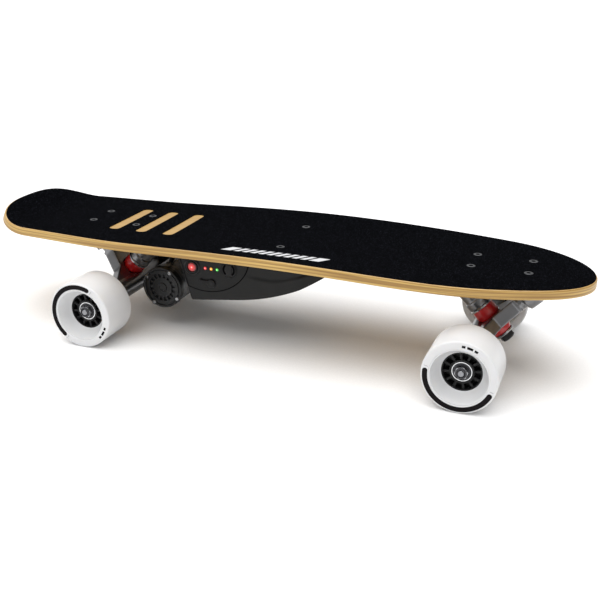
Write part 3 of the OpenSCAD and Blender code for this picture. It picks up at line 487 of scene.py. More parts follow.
def solid(name: str, verts: Iterable[Sequence[float]], faces: Iterable[Sequence[int]],
          place: Matrix | None = None, sharp: float = 35.0,
          uv: np.ndarray | None = None) -> bpy.types.Object:
    """Makes a closed mesh with outward faces and edges smoothed by angle.

    Args:
        name: Name of the object.
        verts: Its points, in metres.
        faces: Its faces, as rows of indices.
        place: Where to put it, before it is finished.
        sharp: Angle in degrees over which an edge stays sharp.
        uv: A row of u and v in metres for each point, if it has a UV map.

    Returns:
        The object.
    """
    mesh = bpy.data.meshes.new(name)
    mesh.from_pydata([tuple(map(float, v)) for v in verts], [], [tuple(f) for f in faces])
    if uv is not None:
        corners = np.array([loop.vertex_index for loop in mesh.loops])
        layer = mesh.uv_layers.new(name="edge")
        layer.data.foreach_set("uv", uv[corners].astype(np.float32).ravel())
    tidy(mesh, sharp)
    if place is not None:
        move_mesh(mesh, place)
    return add_object(name, mesh)


def move_mesh(mesh: bpy.types.Mesh, place: Matrix) -> None:
    """Moves a mesh's points, and turns it the right way out if that mirrors it."""
    mesh.transform(place)
    if place.determinant() < 0:
        mesh.flip_normals()


def tidy(mesh: bpy.types.Mesh, sharp: float = 35.0) -> None:
    """Merges doubles, drops slivers, points the faces outwards and smooths them."""
    work = bmesh.new()
    work.from_mesh(mesh)
    bmesh.ops.remove_doubles(work, verts=work.verts, dist=1e-7)
    bmesh.ops.dissolve_degenerate(work, edges=work.edges, dist=1e-7)
    bmesh.ops.recalc_face_normals(work, faces=work.faces)
    work.to_mesh(mesh)
    work.free()
    smooth(mesh, sharp)


def smooth(mesh: bpy.types.Mesh, sharp: float) -> None:
    """Shades a mesh smooth, with edges over an angle in degrees kept sharp."""
    mesh.polygons.foreach_set("use_smooth", [True] * len(mesh.polygons))
    mesh.set_sharp_from_angle(angle=math.radians(sharp))


def baked(piece: bpy.types.Object, sharp: float = 35.0) -> bpy.types.Object:
    """Turns an object's live modifiers into its plain mesh.

    Args:
        piece: The object, with its modifiers.
        sharp: Angle in degrees over which an edge stays sharp.

    Returns:
        The same object, with no modifiers.
    """
    bpy.context.view_layer.update()
    graph = bpy.context.evaluated_depsgraph_get()
    mesh = bpy.data.meshes.new_from_object(piece.evaluated_get(graph))
    piece.modifiers.clear()
    piece.data = mesh
    smooth(mesh, sharp)
    return piece


def bevelled(piece: bpy.types.Object, width: float, segments: int = 2,
             angle: float = 40.0) -> bpy.types.Object:
    """Rounds the sharp edges of a piece by a width in metres."""
    made = piece.modifiers.new("bevel", "BEVEL")
    made.width = width
    made.segments = segments
    made.limit_method = "ANGLE"
    made.angle_limit = math.radians(angle)
    return baked(piece)


def joined(name: str, pieces: Sequence[bpy.types.Object]) -> bpy.types.Object:
    """Joins objects at the origin into one, keeping their materials."""
    work = bmesh.new()
    slots: list[bpy.types.Material] = []
    for piece in pieces:
        start = len(work.faces)
        work.from_mesh(piece.data)
        work.faces.ensure_lookup_table()
        own = list(piece.data.materials)
        for face in work.faces[start:]:
            if own:
                used = own[face.material_index]
                if used not in slots:
                    slots.append(used)
                face.material_index = slots.index(used)
        bpy.data.objects.remove(piece)
    mesh = bpy.data.meshes.new(name)
    work.to_mesh(mesh)
    work.free()
    for used in slots:
        mesh.materials.append(used)
    return add_object(name, mesh)


def dressed(piece: bpy.types.Object, finish: str) -> bpy.types.Object:
    """Gives a whole piece one finish."""
    piece.data.materials.clear()
    piece.data.materials.append(material(finish))
    return piece


def lathe(name: str, outline: Sequence[Flat], place: Matrix,
          turns: int = 96, sharp: float = 32.0) -> bpy.types.Object:
    """Turns a closed outline of (radius, height) in mm about a place's own Z.

    Args:
        name: Name of the object.
        outline: Points round the section, in millimetres.
        place: Matrix that puts the lathe's axis where it belongs.
        turns: Number of steps round.
        sharp: Angle in degrees over which an edge stays sharp.

    Returns:
        The object.
    """
    count = len(outline)
    angles = np.linspace(0, 2 * math.pi, turns, endpoint=False)
    verts = [(r * MM * math.cos(a), r * MM * math.sin(a), z * MM)
             for a in angles for r, z in outline]
    faces = []
    for i in range(turns):
        here, there = i * count, (i + 1) % turns * count
        for j in range(count):
            k = (j + 1) % count
            faces.append((here + j, there + j, there + k, here + k))
    return solid(name, verts, faces, place, sharp)


def quads(rings: int, count: int, closed: bool = False) -> list[Sequence[int]]:
    """Faces between rings of points that follow each other.

    Args:
        rings: Number of rings.
        count: Points round each ring.
        closed: Whether the last ring joins the first.

    Returns:
        The faces, ring by ring.
    """
    faces: list[Sequence[int]] = []
    for i in range(rings if closed else rings - 1):
        here, there = i * count, (i + 1) % rings * count
        faces += [(here + k, here + (k + 1) % count, there + (k + 1) % count, there + k)
                  for k in range(count)]
    return faces


def capped(rings: int, count: int) -> list[Sequence[int]]:
    """Faces of a closed body: both end rings, then the quads between the rings."""
    return [tuple(range(count)), tuple(range((rings - 1) * count, rings * count)),
            *quads(rings, count)]


def prism(name: str, outline: Sequence[Flat], low: float, high: float,
          place: Matrix, sharp: float = 35.0) -> bpy.types.Object:
    """Pulls a flat outline in mm along a place's own Z from low to high."""
    count = len(outline)
    verts = [(x * MM, y * MM, z * MM) for z in (low, high) for x, y in outline]
    return solid(name, verts, capped(2, count), place, sharp)


def arc(cx: float, cy: float, r: float, start: float, end: float,
        steps: int = 12) -> list[Flat]:
    """Points of an arc, with its angles in degrees."""
    return [(cx + r * math.cos(math.radians(a)), cy + r * math.sin(math.radians(a)))
            for a in np.linspace(start, end, steps)]


def polygon(r: float, sides: int, turn: float = 0.0) -> list[Flat]:
    """Corners of a regular polygon, turned by an angle in degrees."""
    return arc(0, 0, r, turn, turn + 360, sides + 1)[:-1]


def domed(r: float, top: float, rise: float, foot: float, step: int) -> list[Flat]:
    """Section of a round lens with a domed top.

    Args:
        r: Radius of the lens.
        top: Height of the dome's middle.
        rise: How far the dome's edge lies under its middle.
        foot: Height of the lens's foot.
        step: Degrees between points of the dome.

    Returns:
        Points from the foot's middle up over the dome and down to the foot.
    """
    dome = [(r * math.sin(math.radians(a)) if a else 0.0,
             top - rise * (1 - math.cos(math.radians(a)))) for a in range(0, 91, step)]
    return [(0.0, foot), *dome, (r, foot)]


def ring_band(r_in: float, r_out: float, start: float, end: float,
              steps: int = 72) -> list[Flat]:
    """Outline of part of a ring with round ends, angles in degrees."""
    middle, half = (r_in + r_out) / 2, (r_out - r_in) / 2
    tip = [middle * math.cos(math.radians(end)), middle * math.sin(math.radians(end))]
    tail = [middle * math.cos(math.radians(start)), middle * math.sin(math.radians(start))]
    return (arc(0, 0, r_out, start, end, steps) + arc(*tip, half, end, end + 180, 14)[1:-1]
            + arc(0, 0, r_in, end, start, steps)
            + arc(*tail, half, start + 180, start + 360, 14)[1:-1])


def tube(name: str, path: Sequence[Vector], radius: float, sides: int = 16) -> bpy.types.Object:
    """Round tube along a path whose points are metres, with closed ends."""
    verts: list[Vector] = []
    side = Vector((0, 1, 0))
    for i, at in enumerate(path):
        ahead = (path[min(i + 1, len(path) - 1)] - path[max(i - 1, 0)]).normalized()
        across = (side - ahead * side.dot(ahead)).normalized()
        up = ahead.cross(across)
        for k in range(sides):
            turn = 2 * math.pi * k / sides
            verts.append(at + (across * math.cos(turn) + up * math.sin(turn)) * radius)
    return solid(name, verts, capped(len(path), sides), sharp=50)


def cut_out(piece: bpy.types.Object, cutter: bpy.types.Object, sharp: float = 35.0) -> None:
    """Cuts one object's volume out of a piece and removes the cutter."""
    cut = piece.modifiers.new("cut", "BOOLEAN")
    cut.operation = "DIFFERENCE"
    cut.solver = "EXACT"
    cut.object = cutter
    baked(piece, sharp)
    bpy.data.objects.remove(cutter)


# ---- Geometry Nodes ---------------------------------------------------------

class NodeTool:
    """A Geometry Nodes tree with named inputs, run on a prototype mesh."""

    def __init__(self, name: str) -> None:
        """Starts a tree that takes and gives geometry and sets a material."""
        self.tree = bpy.data.node_groups.new(name, "GeometryNodeTree")
        self.tree.is_modifier = True
        self.tree.interface.new_socket("Geometry", in_out="INPUT",
                                       socket_type="NodeSocketGeometry")
        self.tree.interface.new_socket("Geometry", in_out="OUTPUT",
                                       socket_type="NodeSocketGeometry")
        self.start = self.tree.nodes.new("NodeGroupInput")
        self.end = self.tree.nodes.new("NodeGroupOutput")

    def add_inputs(self, **kinds: str) -> None:
        """Adds named inputs to the tree, each with its kind of value."""
        for name, kind in kinds.items():
            self.tree.interface.new_socket(name, in_out="INPUT",
                                           socket_type=f"NodeSocket{kind}")

    def node(self, kind: str, **settings: object) -> bpy.types.Node:
        """Adds a node with settings by attribute name."""
        made = self.tree.nodes.new(kind)
        for key, value in settings.items():
            setattr(made, key, value)
        return made

    def link(self, source: bpy.types.NodeSocket, target: bpy.types.NodeSocket) -> None:
        """Joins an output to an input."""
        self.tree.links.new(source, target)

    def wire(self, source: bpy.types.Node, **ends: bpy.types.NodeSocket) -> None:
        """Joins a node's outputs, by name with spaces as _, to inputs."""
        for name, end in ends.items():
            self.link(source.outputs[name.replace("_", " ")], end)

    def close(self, instances: bpy.types.NodeSocket) -> None:
        """Ends the tree: instances made real, then given the Material input."""
        real = self.node("GeometryNodeRealizeInstances")
        paint = self.node("GeometryNodeSetMaterial")
        self.link(instances, real.inputs["Geometry"])
        self.link(real.outputs["Geometry"], paint.inputs["Geometry"])
        self.link(self.start.outputs["Material"], paint.inputs["Material"])
        self.link(paint.outputs["Geometry"], self.end.inputs["Geometry"])

    def run(self, prototype: bpy.types.Object, place: Matrix, **values: object) -> bpy.types.Object:
        """Runs the tree on a prototype and keeps the result as its plain mesh.

        Args:
            prototype: The object to repeat, at the origin.
            place: Where the result goes.
            values: The tree's inputs by name, with spaces as _.

        Returns:
            The prototype's object, now holding the result.
        """
        made = prototype.modifiers.new(self.tree.name, "NODES")
        made.node_group = self.tree
        for item in self.tree.interface.items_tree:
            key = item.name.replace(" ", "_")
            if item.in_out == "INPUT" and key in values:
                made[item.identifier] = values[key]
        prototype = baked(prototype)
        move_mesh(prototype.data, place)
        return prototype


def radial_tool() -> NodeTool:
    """Repeats a prototype round the Z axis: Count, Radius, Phase and Material."""
    tool = NodeTool("Radial repeat")
    tool.add_inputs(Count="Int", Radius="Float", Phase="Float", Material="Material")
    points = tool.node("GeometryNodePoints")
    index = tool.node("GeometryNodeInputIndex")
    step = tool.node("ShaderNodeMath", operation="DIVIDE")
    turn = tool.node("ShaderNodeMath", operation="MULTIPLY_ADD")
    turn.inputs[1].default_value = 2 * math.pi
    cosine = tool.node("ShaderNodeMath", operation="COSINE")
    sine = tool.node("ShaderNodeMath", operation="SINE")
    along = tool.node("ShaderNodeCombineXYZ")
    reach = tool.node("ShaderNodeVectorMath", operation="SCALE")
    spin = tool.node("ShaderNodeCombineXYZ")
    put = tool.node("GeometryNodeInstanceOnPoints")
    tool.wire(tool.start, Count=points.inputs["Count"], Phase=turn.inputs[2],
              Radius=reach.inputs["Scale"], Geometry=put.inputs["Instance"])
    tool.link(index.outputs[0], step.inputs[0])
    tool.link(tool.start.outputs["Count"], step.inputs[1])
    tool.link(step.outputs[0], turn.inputs[0])
    tool.link(turn.outputs[0], cosine.inputs[0])
    tool.link(turn.outputs[0], sine.inputs[0])
    tool.link(cosine.outputs[0], along.inputs["X"])
    tool.link(sine.outputs[0], along.inputs["Y"])
    tool.link(along.outputs[0], reach.inputs[0])
    tool.link(turn.outputs[0], spin.inputs["Z"])
    tool.link(reach.outputs[0], points.inputs["Position"])
    tool.link(points.outputs[0], put.inputs["Points"])
    tool.link(spin.outputs[0], put.inputs["Rotation"])
    tool.close(put.outputs["Instances"])
    return tool


def grid_tool() -> NodeTool:
    """Repeats a prototype on a flat grid: Columns, Rows, two spacings and Material."""
    tool = NodeTool("Grid repeat")
    tool.add_inputs(Columns="Int", Rows="Int", Length="Float", Width="Float",
                    Material="Material")
    grid = tool.node("GeometryNodeMeshGrid")
    put = tool.node("GeometryNodeInstanceOnPoints")
    tool.wire(tool.start, Columns=grid.inputs["Vertices X"], Rows=grid.inputs["Vertices Y"],
              Length=grid.inputs["Size X"], Width=grid.inputs["Size Y"],
              Geometry=put.inputs["Instance"])
    tool.link(grid.outputs["Mesh"], put.inputs["Points"])
    tool.close(put.outputs["Instances"])
    return tool


def path_tool() -> NodeTool:
    """Repeats a prototype along a curve, facing along it: Path, Count and Material."""
    tool = NodeTool("Path repeat")
    tool.add_inputs(Path="Object", Count="Int", Material="Material")
    path = tool.node("GeometryNodeObjectInfo")
    even = tool.node("GeometryNodeResampleCurve")
    tangent = tool.node("GeometryNodeInputTangent")
    align = tool.node("FunctionNodeAlignRotationToVector", axis="X", pivot_axis="Y")
    put = tool.node("GeometryNodeInstanceOnPoints")
    tool.wire(tool.start, Path=path.inputs["Object"], Count=even.inputs["Count"],
              Geometry=put.inputs["Instance"])
    tool.link(path.outputs["Geometry"], even.inputs["Curve"])
    tool.link(tangent.outputs[0], align.inputs["Vector"])
    tool.link(even.outputs["Curve"], put.inputs["Points"])
    tool.link(align.outputs["Rotation"], put.inputs["Rotation"])
    tool.close(put.outputs["Instances"])
    return tool


RADIAL = radial_tool()
GRID = grid_tool()
PATH = path_tool()


# ---- Places read from the frame ----------------------------------------------

def middle_of(node: str) -> Vector:
    """Centre of a CAD node's box."""
    low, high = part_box(node)
    return (Vector(low) + Vector(high)) / 2


def axle_place(centre: Vector, side: int) -> Matrix:
    """Frame whose Z runs along the axle, outboard on that side (-1 or +1)."""
    return Matrix.Translation(centre) @ Matrix.Rotation(math.radians(-90 * side), 4, "X")


def joint_of(name: str) -> dict:
    """The record's entry of a joint."""
    return next(j for j in frame["record"]["behaviour"]["joints"] if j["name"] == name)


def steering_place(joint: str) -> Matrix:
    """Frame at a truck's ring: X up the steering axis, Z up the kingpin."""
    entry = joint_of(joint)
    along = Vector(entry["axis"]).normalized()
    up = Vector((-along.z, 0, along.x)) if along.x > 0 else Vector((along.z, 0, -along.x))
    across = up.cross(along)
    place = Matrix((along, across, up)).transposed().to_4x4()
    place.translation = Vector(entry["pos_m"])
    return place


def rides(piece: bpy.types.Object, body: str, *nodes: str, slot: str = "") -> bpy.types.Object:
    """Makes a finished piece ride on a body and stand for CAD nodes.

    Args:
        piece: The finished piece.
        body: The CAD body it moves with.
        nodes: The CAD nodes it replaces, if any.
        slot: The record's material slot of its finish, if it has one; not used.

    Returns:
        The piece.
    """
    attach(piece, body)
    if nodes:
        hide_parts(*nodes)
    LOG.info("%s on %s, %d faces", piece.name, body, len(piece.data.polygons))
    return piece


def cast_copy(name: str, node: str, voxel: float, rounds: int) -> bpy.types.Object:
    """Copy of a CAD node with its edges softened, as a casting's are.

    Args:
        name: Name of the copy.
        node: The CAD node.
        voxel: Size of the remesh, in metres.
        rounds: Rounds of smoothing.

    Returns:
        The copy, as a plain mesh.
    """
    mesh = frame["nodes"][node].data.copy()
    mesh.materials.clear()
    tidy(mesh)
    made = add_object(name, mesh)
    remesh = made.modifiers.new("remesh", "REMESH")
    remesh.mode = "VOXEL"
    remesh.voxel_size = voxel
    soften = made.modifiers.new("soften", "SMOOTH")
    soften.factor = 0.5
    soften.iterations = rounds
    return baked(made, 60.0)


# ---- Deck --------------------------------------------------------------------

@dataclass
class Deck:
    """The laminated deck and its grip tape, by the same rules as the frame's.

    Lengths are metres. The outline is walked as (station, distance across), where
    a station is a length along the deck's own middle line.
    """

    nose_over: float = 101 * MM
    tail_over: float = 150 * MM
    wide_back: float = 291 * MM
    width: float = 200 * MM
    tail_width: float = 165 * MM
    thickness: float = 10.5 * MM
    concave: float = 4 * MM
    arch: float = 1.5 * MM
    nose_drop: float = 4 * MM
    kick_angle: float = math.radians(27)
    kick_r: float = 91 * MM
    kick_len: float = 61 * MM
    grip_t: float = 0.8 * MM
    grip_inset: float = 1.4 * MM
    edge_r: float = 1.6 * MM
    nose_power: float = 3.2
    tail_power: float = 2.6
    slot_w: float = 14.5 * MM
    slot_len: float = 92 * MM
    slot_pitch: float = 37 * MM
    slot_start: float = 12.5 * MM
    slots: int = 3
    body: str = "deck_body"

    def __post_init__(self) -> None:
        """Works out the stations and heights from the frame and the sizes."""
        low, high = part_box("deck")
        self.nose_x, self.tail_x = high[0], low[0]
        self.front_x = self.nose_x - self.nose_over
        self.rear_x = self.tail_x + self.tail_over
        self.wide_x = self.nose_x - self.wide_back
        self.kick_x = self.tail_x + self.kick_len
        bent = (self.kick_r + self.thickness) * math.sin(self.kick_angle)
        self.kick_arc = self.kick_r * self.kick_angle
        self.kick_flat = (self.kick_len - bent) / math.cos(self.kick_angle)
        self.tail_u = self.kick_x - self.kick_arc - self.kick_flat
        self.top_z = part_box("riser_pads")[0][2] + 3 * MM + self.thickness

    def bump(self, u: np.ndarray) -> np.ndarray:
        """1 half way between the trucks, fading to 0 at both bolt patterns."""
        mid, half = (self.front_x + self.rear_x) / 2, (self.front_x - self.rear_x) / 2
        return (1 - np.minimum(1, np.abs(u - mid) / half) ** 2) ** 2

    def half(self, u: np.ndarray) -> np.ndarray:
        """Half the deck's width at each station."""
        nose = np.clip((u - self.wide_x) / self.wide_back, 0, 1)
        front = self.width / 2 * np.sqrt(1 - nose ** self.nose_power)
        run = (self.wide_x - np.maximum(u, self.kick_x)) / (self.wide_x - self.kick_x)
        side = self.width / 2 - (self.width - self.tail_width) / 2 * np.clip(run, 0, None) ** 2
        past = np.clip((self.kick_x - u) / (self.kick_x - self.tail_u), 0, 1)
        end = (1 - past ** self.tail_power) ** (1 / self.tail_power)
        return np.where(u > self.wide_x, front, side * end)

    def surface(self, u: np.ndarray, y: np.ndarray, depth: np.ndarray) -> np.ndarray:
        """Points at stations, distances across and depths under the top.

        Args:
            u: Stations.
            y: Distances across.
            depth: Depths square to the top.

        Returns:
            One row of x, y, z for each.
        """
        past = np.clip(u - self.front_x, 0, None)
        ahead = self.arch * self.bump(u) - self.nose_drop * (past / self.nose_over) ** 2
        lean = np.clip((self.kick_x - u) / self.kick_r, 0, self.kick_angle)
        straight = np.clip(self.kick_x - self.kick_arc - u, 0, None)
        x = np.where(u > self.kick_x, u, self.kick_x - self.kick_r * np.sin(lean)
                     - straight * math.cos(self.kick_angle))
        z = np.where(u > self.kick_x, ahead, self.kick_r * (1 - np.cos(lean))
                     + straight * math.sin(self.kick_angle))
        wide = np.maximum(self.half(u), 4 * MM)
        lift = self.concave * self.bump(u) * (y / wide) ** 2 - depth
        return np.stack([x + lift * np.sin(lean), y, self.top_z + z + lift * np.cos(lean)], -1)

    def outline(self, steps: int = 150) -> np.ndarray:
        """Closed outline as rows of (station, across), evenly spaced."""
        turn = np.linspace(0, math.pi, 1200)
        mid = (self.nose_x + self.tail_u) / 2
        u = mid + (self.nose_x - self.tail_u) / 2 * np.cos(turn)
        side = np.stack([u, self.half(u)], 1)
        side[0, 1] = side[-1, 1] = 0.0
        gaps = np.hypot(*np.diff(side, axis=0).T)
        run = np.concatenate([[0], np.cumsum(gaps)])
        even = np.linspace(0, run[-1], steps)
        left = np.stack([np.interp(even, run, side[:, 0]), np.interp(even, run, side[:, 1])], 1)
        right = left[-2:0:-1] * [1, -1]
        return np.concatenate([left, right])

    @staticmethod
    def inset(path: np.ndarray, by: float) -> np.ndarray:
        """A closed path moved inwards by a distance."""
        ahead = np.roll(path, -1, 0) - np.roll(path, 1, 0)
        ahead /= np.linalg.norm(ahead, axis=1)[:, None]
        out = np.stack([ahead[:, 1], -ahead[:, 0]], 1)
        if np.sum(out[:, 0] * (path[:, 0] - path[:, 0].mean())) < 0:
            out = -out
        return path - out * by

    def shell(self, name: str, path: np.ndarray, edge: Sequence[Flat],
              rings: int = 14) -> bpy.types.Object:
        """Closed slab whose edge follows a section of (inset, depth).

        Args:
            name: Name of the object.
            path: Outline of the slab's widest ring.
            edge: Section from the top's rim, round the edge, to the bottom's rim.
            rings: Rings between the rim and the middle of a face.

        Returns:
            The object, with a UV map of metres along and down the edge.
        """
        centre = np.array([(self.nose_x + self.tail_u) / 2, 0.0])
        shrink = 1 - np.linspace(0, 1, rings + 1)[1:] ** 1.2
        loops: list[tuple[np.ndarray, float]] = []
        top = self.inset(path, edge[0][0])
        bottom = self.inset(path, edge[-1][0])
        loops += [(centre + (top - centre) * max(s, 0.004), edge[0][1]) for s in shrink[::-1]]
        loops += [(self.inset(path, inward), depth) for inward, depth in edge]
        loops += [(centre + (bottom - centre) * max(s, 0.004), edge[-1][1]) for s in shrink]
        count = len(path)
        verts = np.concatenate([self.surface(p[:, 0], p[:, 1], np.full(count, d))
                                for p, d in loops])
        steps = np.linalg.norm(np.diff(path, axis=0), axis=1)
        along = np.concatenate([[0], np.cumsum(steps)])
        along = np.minimum(along, along[-1] - along)
        uv = np.concatenate([np.stack([along, np.full(count, d)], 1) for _, d in loops])
        return solid(name, verts, capped(len(loops), count), sharp=60, uv=uv)

    def build_deck(self) -> bpy.types.Object:
        """The wooden slab, with its round edge showing the plies."""
        r, t = self.edge_r, self.thickness
        turn = [math.radians(a) for a in (0, 22, 45, 67, 90)]
        section = [(r - r * math.sin(a), r - r * math.cos(a)) for a in turn]
        section += [(0.0, t * part) for part in (0.35, 0.5, 0.65)]
        section += [(inward, t - depth) for inward, depth in section[4::-1]]
        piece = self.shell("bamboo_deck", self.outline(170), section)
        dressed(piece, "bamboo")
        piece.data.materials.append(material("bamboo_edge"))
        for face in piece.data.polygons:
            if abs(face.normal.z) < 0.72:
                face.material_index = 1
        return rides(piece, self.body, "deck", slot="bamboo")

    def slot_x(self, index: int) -> float:
        """Middle of a grip slot along the deck."""
        return self.rear_x + self.slot_start + self.slot_pitch * index

    def build_grip(self) -> bpy.types.Object:
        """The grip tape, with its open slots cut through."""
        t = self.grip_t
        section = [(0.35 * MM, -t), (0.1 * MM, -t * 0.8), (0.0, -t * 0.4), (0.0, 0.02 * MM)]
        path = self.inset(self.outline(170), self.grip_inset)
        piece = self.shell("grip_sheet", path, section, 20)
        corner = self.slot_w * 0.42
        cutters = []
        for i in range(self.slots):
            w, h = self.slot_w / 2 - corner, self.slot_len / 2 - corner
            shape = [(p[0] / MM, p[1] / MM) for cx, cy, a in
                     ((w, h, 0), (-w, h, 90), (-w, -h, 180), (w, -h, 270))
                     for p in arc(cx, cy, corner, a, a + 90, 6)]
            place = Matrix.Translation((self.slot_x(i), 0, self.top_z))
            cutters.append(prism("cutter", shape, -8, 8, place))
        cut_out(piece, joined("slot_cutters", cutters), 50)
        dressed(piece, "grip")
        return rides(piece, self.body, "grip_tape", slot="grip")

    def build_bars(self) -> bpy.types.Object:
        """A plain printed row of slanted bars near the right-hand edge."""
        y_low, y_high, lean = -80 * MM, -66 * MM, 9 * MM
        widths = [12, 6, 6, 6, 6, 6, 6, 6, 6, 6, 12]
        gap = 4.0 * MM
        x = -40 * MM
        bars = []
        for width in widths:
            w = width * MM
            corners = np.array([[x, y_low], [x + w, y_low], [x + w + lean, y_high],
                                [x + lean, y_high]])
            cols, rows = 8, 6
            grid = [(1 - s) * ((1 - t) * corners[0] + t * corners[1])
                    + s * ((1 - t) * corners[3] + t * corners[2])
                    for s in np.linspace(0, 1, rows) for t in np.linspace(0, 1, cols)]
            flat = np.array(grid)
            upper, lower = (self.surface(*flat.T, np.full(len(flat), lift * MM - self.grip_t))
                            for lift in (-0.10, 0.2))
            faces: list[Sequence[int]] = []
            n = cols * rows
            for r in range(rows - 1):
                for c in range(cols - 1):
                    a = r * cols + c
                    faces += [(a, a + 1, a + cols + 1, a + cols),
                              (n + a, n + a + 1, n + a + cols + 1, n + a + cols)]
            rim = (list(range(cols)) + [r * cols + cols - 1 for r in range(1, rows)]
                   + [(rows - 1) * cols + c for c in range(cols - 2, -1, -1)]
                   + [r * cols for r in range(rows - 2, 0, -1)])
            faces += [(rim[i], rim[(i + 1) % len(rim)], n + rim[(i + 1) % len(rim)], n + rim[i])
                      for i in range(len(rim))]
            bars.append(dressed(solid("bar", np.concatenate([upper, lower]), faces), "print_white"))
            x += w + gap
        return rides(joined("deck_bars", bars), self.body)

    def bolt(self, name: str, d: float, length: float) -> bpy.types.Object:
        """Countersunk bolt with a hexagon recess, its top at z = 0, in mm."""
        r, key = d, d * 0.5
        base = Matrix.Identity(4)
        rim = lathe(name, [(key * 0.98, 0.0), (r * 0.90, 0.0), (r, -0.25), (r * 0.98, -0.8),
                           (r * 0.6, -2.4), (key * 0.98, -2.4)], base, 40)
        circle = polygon(key * 1.25, 24)
        floor = prism("floor", circle, -2.4, -1.6, base)
        wall = hollow_prism("wall", circle, polygon(key * 1.15, 6), -2.0, -0.05, base)
        shank = lathe("shank", [(0.0, -2.3), (d / 2, -2.3), (d / 2, 0.5 - length),
                                (d / 2 - 0.5, -length), (0.0, -length)], base, 32)
        return joined(name, [rim, floor, wall, shank])

    def build_bolts(self) -> None:
        """Truck and housing bolts, in pairs laid out by a grid tree."""
        radius = 5 * MM
        low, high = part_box("truck_bolts")
        reach = (high[0] - low[0] - (self.front_x - self.rear_x)) / 2 - radius
        spots = {"truck_bolts": [x + sign * reach for x in (self.front_x, self.rear_x)
                                 for sign in (1, -1)]}
        low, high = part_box("housing_bolts")
        spots["housing_bolts"] = [(low[0] + high[0]) / 2]
        for node, stations in spots.items():
            low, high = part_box(node)
            gap = high[1] - low[1] - 2 * radius
            pairs = []
            for x in stations:
                surface = self.surface(np.array([x]), np.array([gap / 2]),
                                       np.array([-self.grip_t]))[0]
                top = max(float(surface[2]) + 0.15 * MM, high[2] - 0.1 * MM)
                bolt = self.bolt(f"{node}_pair", 5.0, (top - low[2]) / MM)
                pairs.append(GRID.run(bolt, Matrix.Translation((x, 0, top)), Columns=1, Rows=2,
                                      Length=0.0, Width=gap, Material=material("bolt_black")))
            name = node.replace("_bolts", "_bolt_set")
            rides(joined(name, pairs), self.body, node, slot="bolt_black")

    def build(self) -> None:
        """Builds every piece of the deck's top."""
        self.build_deck()
        self.build_grip()
        self.build_bars()
        self.build_bolts()


def hollow_prism(name: str, outer: Sequence[Flat],
                 inner: Sequence[Flat], low: float, high: float,
                 place: Matrix) -> bpy.types.Object:
    """Prism with a hole of another outline, both in mm round the origin."""
    angles = np.radians(np.arange(0, 360, 7.5))

    def ray(outline: Sequence[Flat], angle: float) -> Flat:
        """Where a ray from the origin leaves an outline."""
        way = np.array([math.cos(angle), math.sin(angle)])
        best = 0.0
        for (ax, ay), (bx, by) in zip(outline, list(outline[1:]) + [outline[0]]):
            edge = np.array([bx - ax, by - ay])
            cross = way[0] * edge[1] - way[1] * edge[0]
            if abs(cross) < 1e-9:
                continue
            reach = (ax * edge[1] - ay * edge[0]) / cross
            part = (ax * way[1] - ay * way[0]) / cross
            if reach > 0 and -1e-6 <= part <= 1 + 1e-6:
                best = max(best, reach)
        return best * way[0], best * way[1]

    count = len(angles)
    rings = [(outer, low), (outer, high), (inner, high), (inner, low)]
    verts = [(*[v * MM for v in ray(shape, a)], z * MM) for shape, z in rings for a in angles]
    return solid(name, verts, quads(len(rings), count, closed=True), place)


# ---- Wheels --------------------------------------------------------------------

